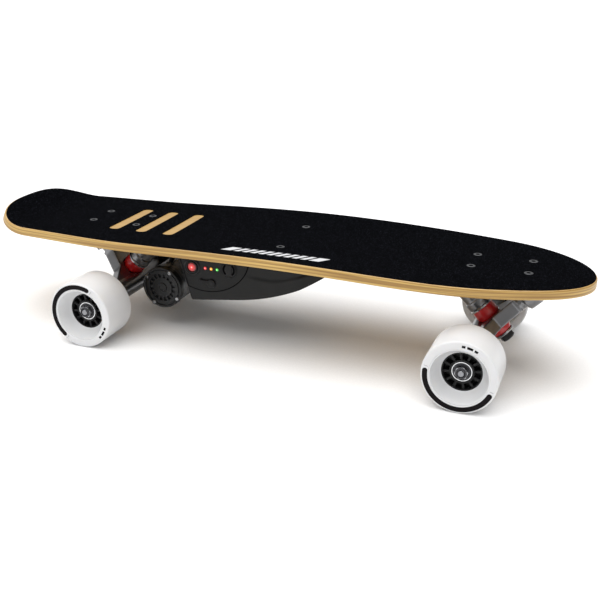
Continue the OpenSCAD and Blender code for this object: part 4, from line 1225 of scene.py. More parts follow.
@dataclass
class Wheel:
    """One wheel: tyre, printed stripe, ribbed core, bearings and axle nut.

    Radii and heights along the axle are mm in the wheel's own frame, whose zero
    is the middle of the tyre and whose +Z is outboard.
    """

    end: str
    side: int
    stripe_at: float
    radius: float = 40.0
    half: float = 25.0
    lip: float = 32.0
    core_r: float = 21.6
    bearing_r: float = 11.0
    ribs: int = 12

    def __post_init__(self) -> None:
        """Reads the wheel's place from the frame."""
        self.hand = "left" if self.side > 0 else "right"
        self.name = f"{self.end}_{self.hand}"
        self.body = f"{self.name}_wheel"
        self.hanger = f"{self.end}_hanger_body"
        centre = middle_of(f"{self.name}_tyre")
        self.place = axle_place(centre, self.side)
        faces = [(abs(corner[1]) - abs(centre.y)) / MM
                 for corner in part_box(f"{self.name}_bearings")]
        self.hub_in, self.hub_out = sorted(faces)

    def angle(self, seen: float) -> float:
        """Angle in the wheel's frame of an angle seen from the board's right."""
        return seen if self.side < 0 else -seen

    def build_tyre(self) -> None:
        """White urethane, with round outer edges and a dished recess each side."""
        r, h, lip, core = self.radius, self.half, self.lip, self.core_r
        edge = 2.0
        outline = [(core, self.hub_in), (core + 0.6, self.hub_in - 0.6)]
        outline += [(lip - 0.7, -h + 0.5), (lip + 0.3, -h)]
        outline += arc(r - edge, -h + edge, edge, -90, 0, 9)
        outline += [(r, -h / 2), (r, 0), (r, h / 2)]
        outline += arc(r - edge, h - edge, edge, 0, 90, 9)
        outline += [(lip + 0.5, h), (lip - 0.1, h - 0.2), (lip - 0.5, h - 0.7)]
        outline += [(core + 5.2 + 3.9 * t, self.hub_out + 8.0 + 8.5 * t) for t in (0.9, 0.6, 0.3)]
        outline += [(core + 4.2, self.hub_out + 6.0), (core + 2.4, self.hub_out + 3.0),
                    (core + 0.8, self.hub_out + 0.8), (core, self.hub_out + 0.2)]
        piece = lathe(f"{self.name}_urethane", outline, self.place, 144)
        rides(dressed(piece, "wheel_urethane"), self.body, f"{self.name}_tyre",
              slot="wheel_urethane")

    def build_print(self) -> None:
        """The black stripe with its end ticks, and three plain dashes opposite."""
        middle, span = self.angle(self.stripe_at), 80.0
        top, skin = self.half + 0.07, self.half - 0.3
        pieces = [dressed(prism("stripe", ring_band(32.5, 38.0, middle - span, middle + span),
                                skin, top, self.place), "print_black")]
        for sign in (-1, 1):
            at = middle + sign * (span + 8.5)
            band = ring_band(33.0, 37.5, at - 0.25, at + 0.25, 2)
            flat = [(p[0], p[1]) for p in band]
            pieces.append(dressed(prism("tick", self.thin(flat, at), skin, top, self.place),
                                  "print_grey"))
        for shift, width in ((-11.0, 3.0), (0.0, 5.0), (11.0, 3.0)):
            at = middle + 180 + shift
            band = (arc(0, 0, 36.4, at - width, at + width, 12)
                    + arc(0, 0, 33.8, at + width, at - width, 12))
            pieces.append(dressed(prism("dash", band, skin, top, self.place), "print_black"))
        rides(joined(f"{self.name}_print", pieces), self.body)

    @staticmethod
    def thin(outline: Sequence[Flat], at: float) -> list[Flat]:
        """Squeezes an outline to a thin radial mark at an angle."""
        way = np.array([math.cos(math.radians(at)), math.sin(math.radians(at))])
        across = np.array([-way[1], way[0]])
        return [tuple(way * np.dot(p, way) + across * np.dot(p, across) * 0.16)
                for p in np.array(outline)]

    def build_core(self) -> None:
        """Moulded core with ribs across a ring-shaped pocket."""
        r, out, low = self.core_r, self.hub_out, self.hub_in
        floor = out - 7.5
        outline = [(11.0, out - 0.1), (11.3, out + 0.2), (13.0, out + 0.2), (13.3, out - 0.2),
                   (13.5, floor), (19.6, floor), (19.9, out - 0.5), (20.2, out), (r, out),
                   (r, low), (11.0, low), (11.0, low + 7), (8.0, low + 7), (8.0, out - 7),
                   (11.0, out - 7)]
        shell = dressed(lathe("shell", outline, self.place, 96), "core_plastic")
        rib = prism("ribs", [(-3.4, -1.15), (3.4, -1.5), (3.4, 1.5), (-3.4, 1.15)],
                    floor - 0.2, out - 0.9, Matrix.Identity(4))
        bevelled(rib, 0.35 * MM)
        ribs = RADIAL.run(rib, self.place, Count=self.ribs, Radius=16.6 * MM, Phase=0.13,
                          Material=material("core_plastic"))
        piece = joined(f"{self.name}_hub", [shell, ribs])
        smooth(piece.data, 35)
        rides(piece, self.body, f"{self.name}_core", slot="core_plastic")

    def build_bearings(self) -> None:
        """Both bearings: bright outer and inner rings with dark shields between."""
        rings, shields = [], []
        for face, way in ((self.hub_out, 1), (self.hub_in, -1)):
            back = face - 7 * way
            for r_in, r_out in ((9.7, self.bearing_r), (4.06, 6.0)):
                outline = [(r_in, back), (r_out, back), (r_out, face - 0.35 * way),
                           (r_out - 0.35, face), (r_in + 0.3, face), (r_in, face - 0.3 * way)]
                rings.append(dressed(lathe("race", outline, self.place, 64), "bearing_steel"))
            outline = [(6.0, back + 1.0 * way), (9.7, back + 1.0 * way), (9.7, face - 0.7 * way),
                       (9.0, face - 0.45 * way), (7.2, face - 0.45 * way), (6.0, face - 0.9 * way)]
            shields.append(dressed(lathe("shield", outline, self.place, 64), "nylon"))
        rides(joined(f"{self.name}_races", rings), self.body, f"{self.name}_bearings",
              slot="bearing_steel")
        rides(joined(f"{self.name}_shields", shields), self.body, slot="bearing_steel")

    def build_nut(self) -> bpy.types.Object:
        """Locknut with a nylon collar, and the axle's threaded end in it."""
        start = self.hub_out + 1.1
        base = Matrix.Identity(4)
        nut = bevelled(hollow_prism("nut", polygon(7.5, 6, 12), polygon(4.1, 32),
                                    start, start + 3.4, base), 0.4 * MM)
        dressed(nut, "zinc_steel")
        collar = lathe("collar", [(4.05, start + 3.0), (5.9, start + 3.0), (6.2, start + 4.0),
                                  (5.6, start + 4.8), (4.4, start + 5.0), (4.05, start + 4.4)],
                       base, 48)
        dressed(collar, "nylon")
        pitch = 1.0
        thread = [(3.7, start + 3.4)]
        for i in range(2):
            z = start + 3.6 + pitch * i
            thread += [(4.0, z), (3.75, z + pitch / 2)]
        end = dressed(lathe("thread", thread, base, 40, 60), "axle_steel")
        pieces = [nut, collar, end]
        for piece in pieces:
            move_mesh(piece.data, self.place)
        return joined(f"{self.name}_nut", pieces)

    def build(self) -> bpy.types.Object:
        """Builds the wheel and returns its nut, which belongs to the hanger."""
        self.build_tyre()
        self.build_print()
        self.build_core()
        self.build_bearings()
        return self.build_nut()


# ---- Trucks --------------------------------------------------------------------

@dataclass
class Truck:
    """One truck: castings, bushings, kingpin nut and washers.

    Heights are mm along the kingpin, from the middle of the hanger's ring.
    """

    end: str
    seat: float = 6.5
    bushing_r: float = 12.5
    board_h: float = 16.0
    road_h: float = 10.5
    cup_t: float = 1.5
    nut_h: float = 6.5
    kingpin_r: float = 5.0

    def __post_init__(self) -> None:
        """Reads the truck's place from its steering joint."""
        self.place = steering_place(f"{self.end}_steer")
        self.root = "deck_body"
        self.hanger = f"{self.end}_hanger_body"

    def build_castings(self) -> None:
        """Hanger and baseplate, with the soft edges of tumbled castings."""
        hanger = dressed(cast_copy(f"{self.end}_hanger_casting", f"{self.end}_hanger",
                                   0.9 * MM, 6), "truck_aluminium")
        rides(hanger, self.hanger, f"{self.end}_hanger", slot="truck_aluminium")
        plate = dressed(cast_copy(f"{self.end}_baseplate_casting", f"{self.end}_baseplate",
                                  0.8 * MM, 3), "truck_aluminium")
        rides(plate, self.root, f"{self.end}_baseplate", slot="truck_aluminium")

    def build_bushings(self) -> None:
        """The barrel on the deck's side and the cone on the road's side."""
        r, low = self.bushing_r, self.seat + 0.02
        high = self.seat + self.board_h - 0.02
        hole = self.kingpin_r + 0.3
        barrel = [(hole, low), (r - 0.9, low), (r, low + 0.9)]
        barrel += [(r + 0.9 * math.sin(math.pi * t), low + (high - low) * t)
                   for t in np.linspace(0.12, 0.88, 9)]
        barrel += [(r, high - 0.9), (r - 0.9, high), (hole, high)]
        piece = lathe(f"{self.end}_barrel_bushing", barrel, self.place, 72, 50)
        rides(dressed(piece, "bushing_urethane"), self.root, f"{self.end}_board_bushing",
              slot="bushing_urethane")
        top, bottom = -self.seat - 0.02, -self.seat - self.road_h + 0.02
        cone = [(hole, bottom), (r - 3.2, bottom), (r - 2.5, bottom + 0.7)]
        cone += [(r - 2.5 + 2.9 * t + 0.5 * math.sin(math.pi * t),
                  bottom + (top - bottom) * t) for t in np.linspace(0.12, 0.85, 8)]
        cone += [(r + 0.3, top - 1.2), (r - 0.4, top), (hole, top)]
        piece = lathe(f"{self.end}_cone_bushing", cone, self.place, 72, 50)
        rides(dressed(piece, "bushing_urethane"), self.root, f"{self.end}_road_bushing",
              slot="bushing_urethane")

    def build_nut(self) -> bpy.types.Object:
        """Black kingpin locknut with a washer face."""
        top = -self.seat - self.road_h - self.cup_t
        foot, hole = top - self.nut_h, self.kingpin_r + 0.06
        nut = bevelled(hollow_prism("nut", polygon(8.66, 6), polygon(hole, 32), foot, top,
                                    Matrix.Identity(4)), 0.6 * MM, 3)
        move_mesh(nut.data, self.place)
        dressed(nut, "nut_black")
        collar = lathe("collar", [(hole, foot), (7.0, foot), (6.6, foot - 0.9),
                                  (hole, foot - 0.9)], self.place, 48)
        return joined(f"{self.end}_kingpin_locknut", [nut, dressed(collar, "nylon")])

    def build_cups(self) -> bpy.types.Object:
        """The two cupped washers that hold the bushings."""
        hole, r, t = self.kingpin_r + 0.06, self.bushing_r, self.cup_t
        seat = self.seat + self.board_h
        upper = [(hole, seat + 0.02), (r + 0.2, seat + 0.02), (r + 1.0, seat - 0.9),
                 (r + 1.5, seat - 0.9), (r + 1.5, seat + 0.6), (r + 0.6, seat + t),
                 (hole, seat + t)]
        base = -self.seat - self.road_h
        lower = [(hole, base - 0.02), (r - 2.0, base - 0.02), (r - 1.4, base + 0.9),
                 (r - 0.8, base + 0.9), (r - 0.6, base - 0.5), (r - 1.4, base - t),
                 (hole, base - t)]
        cups = [dressed(lathe("cup", outline, self.place, 72), "zinc_steel")
                for outline in (upper, lower)]
        return joined(f"{self.end}_cups", cups)

    def build_axle(self) -> None:
        """Ground axle, stepped down to a bright thread at each end."""
        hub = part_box(f"{self.end}_left_bearings")[1][1] / MM
        reach = hub + 6.2
        half = [(0.0, reach), (2.9, reach), (3.9, reach - 0.9), (3.9, hub - 2.0),
                (3.99, hub - 2.4), (3.99, 0.0)]
        outline = half + [(r, -y) for r, y in half[-2::-1]]
        place = axle_place(middle_of(f"{self.end}_axle"), 1)
        piece = lathe(f"{self.end}_axle_rod", outline, place, 40)
        rides(dressed(piece, "axle_steel"), self.hanger, f"{self.end}_axle", slot="axle_steel")

    def build(self) -> tuple[bpy.types.Object, bpy.types.Object]:
        """Builds the truck and returns its nut and cups, which replace shared nodes."""
        self.build_castings()
        self.build_bushings()
        self.build_axle()
        return self.build_nut(), self.build_cups()


# ---- Belt drive ------------------------------------------------------------------

@dataclass
class Drive:
    """Motor with its end cap, leads and the toothed belt. Sizes are mm."""

    vents: int = 16
    cap_len: float = 8.0
    wheel_teeth: int = 36
    motor_teeth: int = 15
    pitch: float = 5.0
    tooth_gap: float = 0.57
    belt_w: float = 12.0
    belt_gap: float = 0.3
    belt_t: float = 1.8
    leads: int = 3
    lead_r: float = 1.6
    lead_bend: float = 12.0
    body: str = "rear_hanger_body"

    def __post_init__(self) -> None:
        """Reads the shaft line and the belt's plane from the frame."""
        shaft = joint_of("motor_spin")["pos_m"]
        axle = joint_of("rear_left_spin")["pos_m"]
        self.shaft = Vector((shaft[0], 0, shaft[2]))
        self.axle = Vector((axle[0], 0, axle[2]))
        low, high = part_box("motor_end_cap")
        self.cap_face = low[1]
        self.cap_r = (high[2] - low[2]) / 2 / MM
        self.can_r = self.cap_r - 1
        low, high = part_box("motor_can")
        self.can_len = (high[1] - low[1]) / MM
        self.belt_y = middle_of("drive_belt").y
        # Z of this frame runs out of the cap's face, towards the board's right
        self.place = axle_place(Vector((self.shaft.x, self.cap_face, self.shaft.z)), -1)

    def build_cap(self) -> None:
        """End cap with a notched ring, a middle boss and four screw pads."""
        r, deep = self.cap_r, self.cap_len
        outline = [(0.0, -1.3), (3.6, -1.3), (3.9, -0.4), (5.6, -0.3), (6.0, -0.9),
                   (6.2, -1.5), (12.6, -1.5), (13.0, -2.0), (13.2, -3.6), (17.0, -3.6),
                   (17.2, -1.4), (17.6, -0.9), (22.0, -0.8), (22.4, -1.8), (23.0, -1.8),
                   (23.4, -0.3), (24.0, 0.0), (r - 0.9, 0.0), (r - 0.2, -0.5), (r, -1.2),
                   (r, -deep), (0.0, -deep)]
        cap = dressed(lathe("cap", outline, self.place, 120), "motor_black")
        rib = prism("ribs", [(-2.3, -1.0), (2.2, -1.4), (2.2, 1.4), (-2.3, 1.0)], -4.0, -1.3,
                    Matrix.Identity(4))
        ribs = RADIAL.run(bevelled(rib, 0.3 * MM), self.place, Count=self.vents,
                          Radius=15.1 * MM, Phase=0.0, Material=material("motor_black"))
        turn = math.radians(60)
        pad = prism("pads", polygon(3.4, 32), -5.0, 0.35, Matrix.Identity(4))
        rim = (r - 2.7) * MM
        pads = RADIAL.run(bevelled(pad, 0.5 * MM), self.place, Count=4, Radius=rim,
                          Phase=turn, Material=material("motor_black"))
        piece = joined("motor_cap", [cap, ribs, pads])
        smooth(piece.data, 35)
        rides(piece, self.body, "motor_end_cap", slot="motor_black")
        head = lathe("cap_screws", [(0.0, 0.6), (1.0, 0.6), (1.2, 1.0), (1.9, 1.0), (2.2, 0.6),
                                    (2.2, 0.1), (0.0, 0.1)], Matrix.Identity(4), 32)
        screws = RADIAL.run(head, self.place, Count=4, Radius=rim, Phase=turn,
                            Material=material("zinc_steel"))
        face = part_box("motor_screws")[1][1] - 2.5 * MM
        far = lathe("mount_screws", [(0.0, 1.0), (1.4, 1.0), (1.5, 2.5), (2.4, 2.5),
                                     (2.7, 2.1), (2.7, 0.0), (0.0, 0.0)],
                    Matrix.Identity(4), 32)
        place = axle_place(Vector((self.shaft.x, face, self.shaft.z)), 1)
        far = RADIAL.run(far, place, Count=4, Radius=self.can_r * 0.6 * MM,
                         Phase=math.radians(45), Material=material("zinc_steel"))
        rides(joined("motor_screw_set", [screws, far]), self.body, "motor_screws",
              slot="zinc_steel")

    def build_can(self) -> None:
        """Motor can with a rolled groove near each end, and a block where the leads leave it."""
        r, start, end = self.can_r, -self.cap_len - 0.02, -self.cap_len - self.can_len
        outline = [(22.8, start), (r - 0.4, start), (r, start - 0.5)]
        for at in (start - 7.0, end + 8.0):
            outline += [(r, at + 1.2), (r - 0.7, at + 0.6), (r - 0.7, at - 0.6), (r, at - 1.2)]
        outline += [(r, end + 0.6), (r - 0.5, end), (4.2, end), (4.2, end + 3.8), (22.8, end + 3.8)]
        can = dressed(lathe("can", outline, self.place, 120), "motor_grey")
        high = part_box("motor_can")[1][2]
        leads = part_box("motor_cable")
        y0, y1 = (leads[0][1] - 2.4 * MM) / MM, (leads[1][1] + 2.4 * MM) / MM
        block = prism("outlet", [(-4, y0), (4, y0), (4, y1), (-4, y1)],
                      r - 4, (high - self.shaft.z) / MM,
                      Matrix.Translation((self.shaft.x, 0, self.shaft.z)))
        block = dressed(bevelled(block, 0.8 * MM, 3), "motor_black")
        piece = joined("motor_shell", [can, block])
        smooth(piece.data, 35)
        rides(piece, self.body, "motor_can", slot="motor_grey")

    def build_leads(self) -> None:
        """Three leads that bend from the can into the housing."""
        low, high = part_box("motor_cable")
        r, bend = self.lead_r * MM, self.lead_bend * MM
        gap = (high[1] - low[1] - 2 * r) / (self.leads - 1)
        top = high[2] - r
        tubes = []
        for i in range(self.leads):
            y = low[1] + r + gap * i
            path = [Vector((self.shaft.x + bend * (1 - math.cos(a)), y,
                            top - bend + bend * math.sin(a)))
                    for a in np.radians(np.linspace(0, 90, 14))]
            start, stop = path[-1].x, high[0]
            path += [Vector((start + (stop - start) * t, y, top)) for t in np.linspace(0.15, 1, 10)]
            tubes.append(tube("lead", path, r))
        piece = dressed(joined("motor_leads", tubes), "lead_rubber")
        smooth(piece.data, 50)
        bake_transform(piece)
        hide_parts("motor_cable")

    def belt_line(self, grow: float, steps: int = 64) -> list[Flat]:
        """Closed loop round both pulleys, at a distance outside their teeth, in mm."""
        r1, r2 = (teeth * self.pitch / (2 * math.pi) - self.tooth_gap + grow
                  for teeth in (self.wheel_teeth, self.motor_teeth))
        way = self.shaft - self.axle
        gap = way.length / MM
        lean = math.degrees(math.atan2(way.z, way.x))
        open_angle = math.degrees(math.acos((r1 - r2) / gap))
        ax, az = self.axle.x / MM, self.axle.z / MM
        sx, sz = self.shaft.x / MM, self.shaft.z / MM
        return (arc(ax, az, r1, lean + open_angle, lean + 360 - open_angle, steps)
                + arc(sx, sz, r2, lean - open_angle, lean + open_angle, steps // 2))

    def build_belt(self) -> None:
        """Smooth-backed belt with round teeth inside, placed by a path tree."""
        inner, outer = self.belt_line(self.belt_gap), self.belt_line(self.belt_gap + self.belt_t)
        # The belt's own plane: X and Y of the outline become X and Z of the board
        place = Matrix.Translation((0, self.belt_y, 0)) @ Matrix.Rotation(math.radians(90), 4, "X")
        count, half = len(inner), self.belt_w / 2 * MM
        verts = [(x * MM, z * MM, w) for line, w in ((inner, -half), (outer, -half),
                                                     (outer, half), (inner, half))
                 for x, z in line]
        band = dressed(solid("band", verts, quads(4, count, closed=True), place), "belt_rubber")
        curve = bpy.data.curves.new("belt_path", "CURVE")
        curve.dimensions = "3D"
        line = self.belt_line(self.belt_gap + 0.1, 160)
        spline = curve.splines.new("POLY")
        spline.points.add(len(line) - 1)
        for point, (x, z) in zip(spline.points, line):
            point.co = (x * MM, z * MM, 0, 1)
        spline.use_cyclic_u = True
        path = add_object("belt_path", curve)
        length = sum(math.dist(a, b) for a, b in zip(line, line[1:] + line[:1]))
        tooth = prism("belt_teeth", [(-1.2, 0.4), (1.2, 0.4), (0.7, -0.55), (-0.7, -0.55)],
                      -self.belt_w / 2, self.belt_w / 2, Matrix.Identity(4))
        teeth = PATH.run(tooth, place, Path=path, Count=round(length / self.pitch) + 1,
                         Material=material("belt_rubber"))
        bpy.data.objects.remove(path)
        piece = joined("toothed_belt", [band, teeth])
        smooth(piece.data, 35)
        rides(piece, self.body, "drive_belt", slot="belt_rubber")

    def build(self) -> None:
        """Builds the whole drive."""
        self.build_cap()
        self.build_can()
        self.build_leads()
        self.build_belt()
        mount = dressed(cast_copy("motor_bracket", "motor_mount", 0.8 * MM, 3), "motor_black")
        rides(mount, self.body, "motor_mount", slot="motor_black")


# ---- Battery housing --------------------------------------------------------------

@dataclass
class Housing:
    """Battery housing with its control panel. Sizes are mm, heights above the floor."""

    depth: float = 59.5
    lean: float = 18.0
    flat: float = 59.0
    slope: float = 7.5
    bow_r: float = 254.0
    half: float = 65.0
    corner: float = 2.2
    bow_half: float = 44.0
    narrow_from: float = 50.0
    crease_from: float = -22.0
    crease_fade: float = 22.0
    crease_z: float = 89.2
    crease_in: float = 1.3
    button: Flat = (-85.0, 17.0)
    led: Flat = (-68.0, 16.5)
    led_pitch: float = 7.7
    port: Flat = (-37.0, 14.5)
    port_r: float = 8.7
    body: str = "deck_body"

    def __post_init__(self) -> None:
        """Reads the housing's place from the frame."""
        low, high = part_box("battery_housing")
        self.top = high[2] / MM
        self.back_top = low[0] / MM
        self.front = high[0] / MM
        self.x0 = self.back_top + self.lean
        self.z0 = self.top - self.depth
        self.bow_x = self.x0 + self.flat
        self.bow_z = self.z0 + self.flat * math.tan(math.radians(self.slope))

    def bottom(self, x: float) -> float:
        """Height of the underside at a place along the housing."""
        if x <= self.bow_x:
            return self.z0 + (x - self.x0) * math.tan(math.radians(self.slope))
        a = math.radians(self.slope)
        cx = self.bow_x - self.bow_r * math.sin(a)
        cz = self.bow_z + self.bow_r * math.cos(a)
        return min(cz - math.sqrt(max(0, self.bow_r ** 2 - (x - cx) ** 2)), self.top - 1.2)

    def side(self, x: float) -> float:
        """Half width at a place along the housing, rounding in towards the bow."""
        if x <= self.narrow_from:
            return self.half
        t = (x - self.narrow_from) / (self.front - self.narrow_from)
        return self.half - (self.half - self.bow_half) * t

    def crease(self, x: float, z: float) -> float:
        """How far the side steps in above its crease, towards the bow."""
        start = min(1.0, max(0.0, (x - self.crease_from) / self.crease_fade))
        t = (x + 16) / 70
        dip = 2.4 * math.sin(math.pi * min(max(t * 1.1, 0), 1))
        climb = 18.0 * max(0, t - 0.45) ** 1.3
        rise = min(1.0, max(0.0, (z - (self.crease_z - dip + climb)) / 2.4))
        return self.crease_in * rise * rise * (3 - 2 * rise) * start

    def section(self, x: float) -> list[Flat]:
        """Right half of a section as (distance across, height), top first."""
        low, w = self.bottom(x), self.side(x)
        r = min(self.corner, (self.top - low) * 0.45)
        upright = [(w, self.top - (self.top - low - r) * t) for t in np.linspace(0, 1, 26)]
        turn = [(w - r + r * math.cos(a), low + r - r * math.sin(a))
                for a in np.radians(np.linspace(10, 90, 7))]
        floor = [((w - r) * (1 - t), low) for t in np.linspace(0.2, 1, 5)]
        return [(y - self.crease(x, z), z) for y, z in upright] + turn + floor

    def build_shell(self) -> None:
        """The tub: level bottom, leaning back, and a bow that meets the deck."""
        stations = np.concatenate([np.linspace(self.x0, self.bow_x, 12)[:-1],
                                   np.linspace(self.bow_x, self.front, 40)])
        verts: list[Point] = []
        for x in stations:
            half = self.section(x)
            whole = [(-y, z) for y, z in half] + [(y, z) for y, z in half[-2::-1]]
            fade = max(0.0, 1 - (x - self.x0) / (self.bow_x - self.x0 - 8))
            for y, z in whole:
                back = self.lean * (z - self.z0) / self.depth * fade
                verts.append(((x - back) * MM, y * MM, z * MM))
        rings = len(stations)
        piece = solid("housing_tub", verts, capped(rings, len(verts) // rings), sharp=28)
        bevelled(piece, 1.2 * MM, 3, 50)
        self.open_port(piece)
        dressed(piece, "housing_plastic")
        smooth(piece.data, 30)
        rides(piece, self.body, "battery_housing", slot="housing_plastic")

    def on_side(self) -> Matrix:
        """Frame on the right side: X along the board, Y up, Z out to the right."""
        return (Matrix.Translation((0, -self.half * MM, 0))
                @ Matrix.Rotation(math.radians(90), 4, "X"))

    def spot(self, x: float, under: float) -> Matrix:
        """Frame on the right side, at a place along it and a depth under its top."""
        return self.on_side() @ Matrix.Translation((x * MM, (self.top - under) * MM, 0))

    def open_port(self, piece: bpy.types.Object) -> None:
        """Cuts the round opening over the charge socket through a piece."""
        cut_out(piece, prism("cutter", polygon(self.port_r, 64), -16, 4, self.spot(*self.port)))

    def back_at(self, z: float) -> float:
        """Where the leaning back is at a height."""
        return self.x0 - self.lean * (z - self.z0) / self.depth

    def panel_outline(self, inset: float) -> list[Flat]:
        """Outline of the side panel: an elliptical sweep cut by the leaning back."""
        cx, cz, a, b = -68.5, self.top + 1.8, 56.0 - inset, 46.5 - inset
        top = self.top - 1.2 - inset
        sweep = []
        for t in np.linspace(-4, -150, 60):
            x = cx + a * math.cos(math.radians(t))
            z = cz + b * math.sin(math.radians(t))
            if z < top and x > self.back_at(z) + 2.2 + inset:
                sweep.append((x, z))
        low = sweep[-1][1]
        return [(sweep[0][0], top)] + sweep + [(self.back_at(low) + 2.2 + inset, low),
                                               (self.back_at(top) + 2.2 + inset, top)]

    def build_panel(self) -> None:
        """Side panel, with its keyhole-shaped tab and the bezels of the controls."""
        place = self.on_side()
        plate = bevelled(prism("plate", self.panel_outline(0.0)[::-1], -2.0, 0.22, place),
                         0.18 * MM)
        self.open_port(plate)
        dressed(plate, "panel_plastic")
        # A dark band just proud of the side round the plate: painted shade of the groove between
        # panel and housing.
        seam = prism("seam", self.panel_outline(-1.1)[::-1], -2.2, 0.04, place)
        self.open_port(seam)
        dressed(seam, "pocket_dark")
        pieces = [plate, seam]
        at = self.spot(*self.button)
        pieces.append(dressed(lathe("bezel", [(7.7, -1.5), (7.7, 0.6), (8.2, 1.2), (9.3, 1.3),
                                              (10.2, 0.8), (10.6, 0.15), (10.6, -1.5)],
                                    at, 72), "core_plastic"))
        for i in range(3):
            at = self.spot(self.led[0] + self.led_pitch * i, self.led[1])
            pieces.append(dressed(lathe("rim", [(2.05, -1), (2.05, 0.35), (2.5, 0.5), (3.0, 0.3),
                                                (3.1, -1)], at, 40), "core_plastic"))
        tab = ([(-76.0, 77.0), (-75.4, 80.0), (-70.0, 78.9), (-65.0, 79.3)]
               + arc(-60.4, 75.8, 5.2, 138, -150, 20) + [(-66.5, 75.4), (-70.5, 76.0)])
        raised = bevelled(prism("tab", tab[::-1], -1.0, 1.9, place), 0.7 * MM, 3)
        pieces.append(dressed(raised, "panel_plastic"))
        hole = lathe("hole", [(0.0, 0.6), (0.0, 1.94), (2.0, 1.94), (2.2, 0.6)],
                     place @ Matrix.Translation((-60.6 * MM, 75.8 * MM, 0)), 32)
        pieces.append(dressed(hole, "core_plastic"))
        at = self.spot(*self.port)
        pieces.append(dressed(lathe("well", [(9.3, -1), (9.3, 0.42), (9.8, 0.6), (10.6, 0.3),
                                             (10.7, -1)], at, 72), "panel_plastic"))
        rides(joined("side_panel", pieces), self.body, "control_panel", slot="panel_plastic")

    def build_button(self) -> None:
        """Lit red power button, slightly domed."""
        at = self.spot(*self.button)
        lens = lathe("power_lens", domed(5.4, 2.0, 0.8, -4.0, 10), at, 64, 50)
        ring = lathe("ring", [(5.5, -4.0), (5.5, 1.6), (5.9, 2.3), (6.8, 2.3), (7.4, 1.6),
                              (7.4, -4.0)], at, 64, 40)
        centre = tuple(at @ Vector((0, 0, 1.9 * MM)))
        FINISHES["power_glow"] = LitLens((0.62, 0.004, 0.004), centre, 5.6 * MM,
                                         (1.0, 0.50, 0.46), 0.8)
        piece = joined("power_key", [dressed(lens, "power_glow"), dressed(ring, "core_plastic")])
        rides(piece, "power_button_body", "power_button", slot="button_red")

    def build_leds(self) -> None:
        """Three small domed lights: red, amber and green."""
        colours: list[tuple[str, Colour]] = [("red", (0.75, 0.03, 0.03)),
                                             ("amber", (0.90, 0.33, 0.015)),
                                             ("green", (0.06, 0.55, 0.06))]
        lights = []
        for i, (name, colour) in enumerate(colours):
            at = self.spot(self.led[0] + self.led_pitch * i, self.led[1])
            piece = lathe(name, domed(2.0, 0.9, 0.9, -3.0, 15), at, 32, 50)
            centre = tuple(at @ Vector((0, 0, 0.8 * MM)))
            FINISHES[f"glow_{name}"] = LitLens(colour, centre, 2.3 * MM, (1.0, 0.96, 0.88), 1.5)
            lights.append(dressed(piece, f"glow_{name}"))
        rides(joined("indicator_lights", lights), self.body, "indicator_leds", slot="led_lens")

    def build_cap(self) -> None:
        """Rubber cap of the charge socket, with painted shade standing in for two crescent finger
        notches.
        """
        at = self.spot(*self.port)
        disc = bevelled(lathe("disc", [(0.0, 0.3), (0.0, 1.5), (8.2, 1.5), (9.0, 0.9),
                                       (9.0, 0.3)], at, 72), 0.1 * MM)
        pieces = [dressed(disc, "cap_rubber")]
        # Dark crescents a hair above the cap's face: painted shade of the finger notches, which are
        # not cut.
        for middle in (180, 0):
            notch = ring_band(5.6, 7.8, middle - 48, middle + 48, 30)
            pieces.append(dressed(prism("notch", notch, 1.0, 1.56, at), "pocket_dark"))
        ridge = prism("ridge", [(-3.6, -6.2), (3.6, -6.2), (3.6, 6.2), (-3.6, 6.2)], 1.0, 2.3, at)
        pieces.append(dressed(bevelled(ridge, 0.7 * MM, 3), "cap_rubber"))
        strap = prism("strap", [(-2.5, -10.4), (2.5, -10.4), (2.5, -8.0), (-2.5, -8.0)],
                      0.5, 2.0, at)
        pieces.append(dressed(bevelled(strap, 0.5 * MM, 2), "cap_rubber"))
        piece = joined("socket_cap", pieces)
        smooth(piece.data, 35)
        rides(piece, "charge_cap_body", "charge_cap", slot="cap_rubber")

    def build(self) -> None:
        """Builds the housing and its controls."""
        self.build_shell()
        self.build_panel()
        self.build_button()
        self.build_leds()
        self.build_cap()


# ---- Studio ---------------------------------------------------------------------

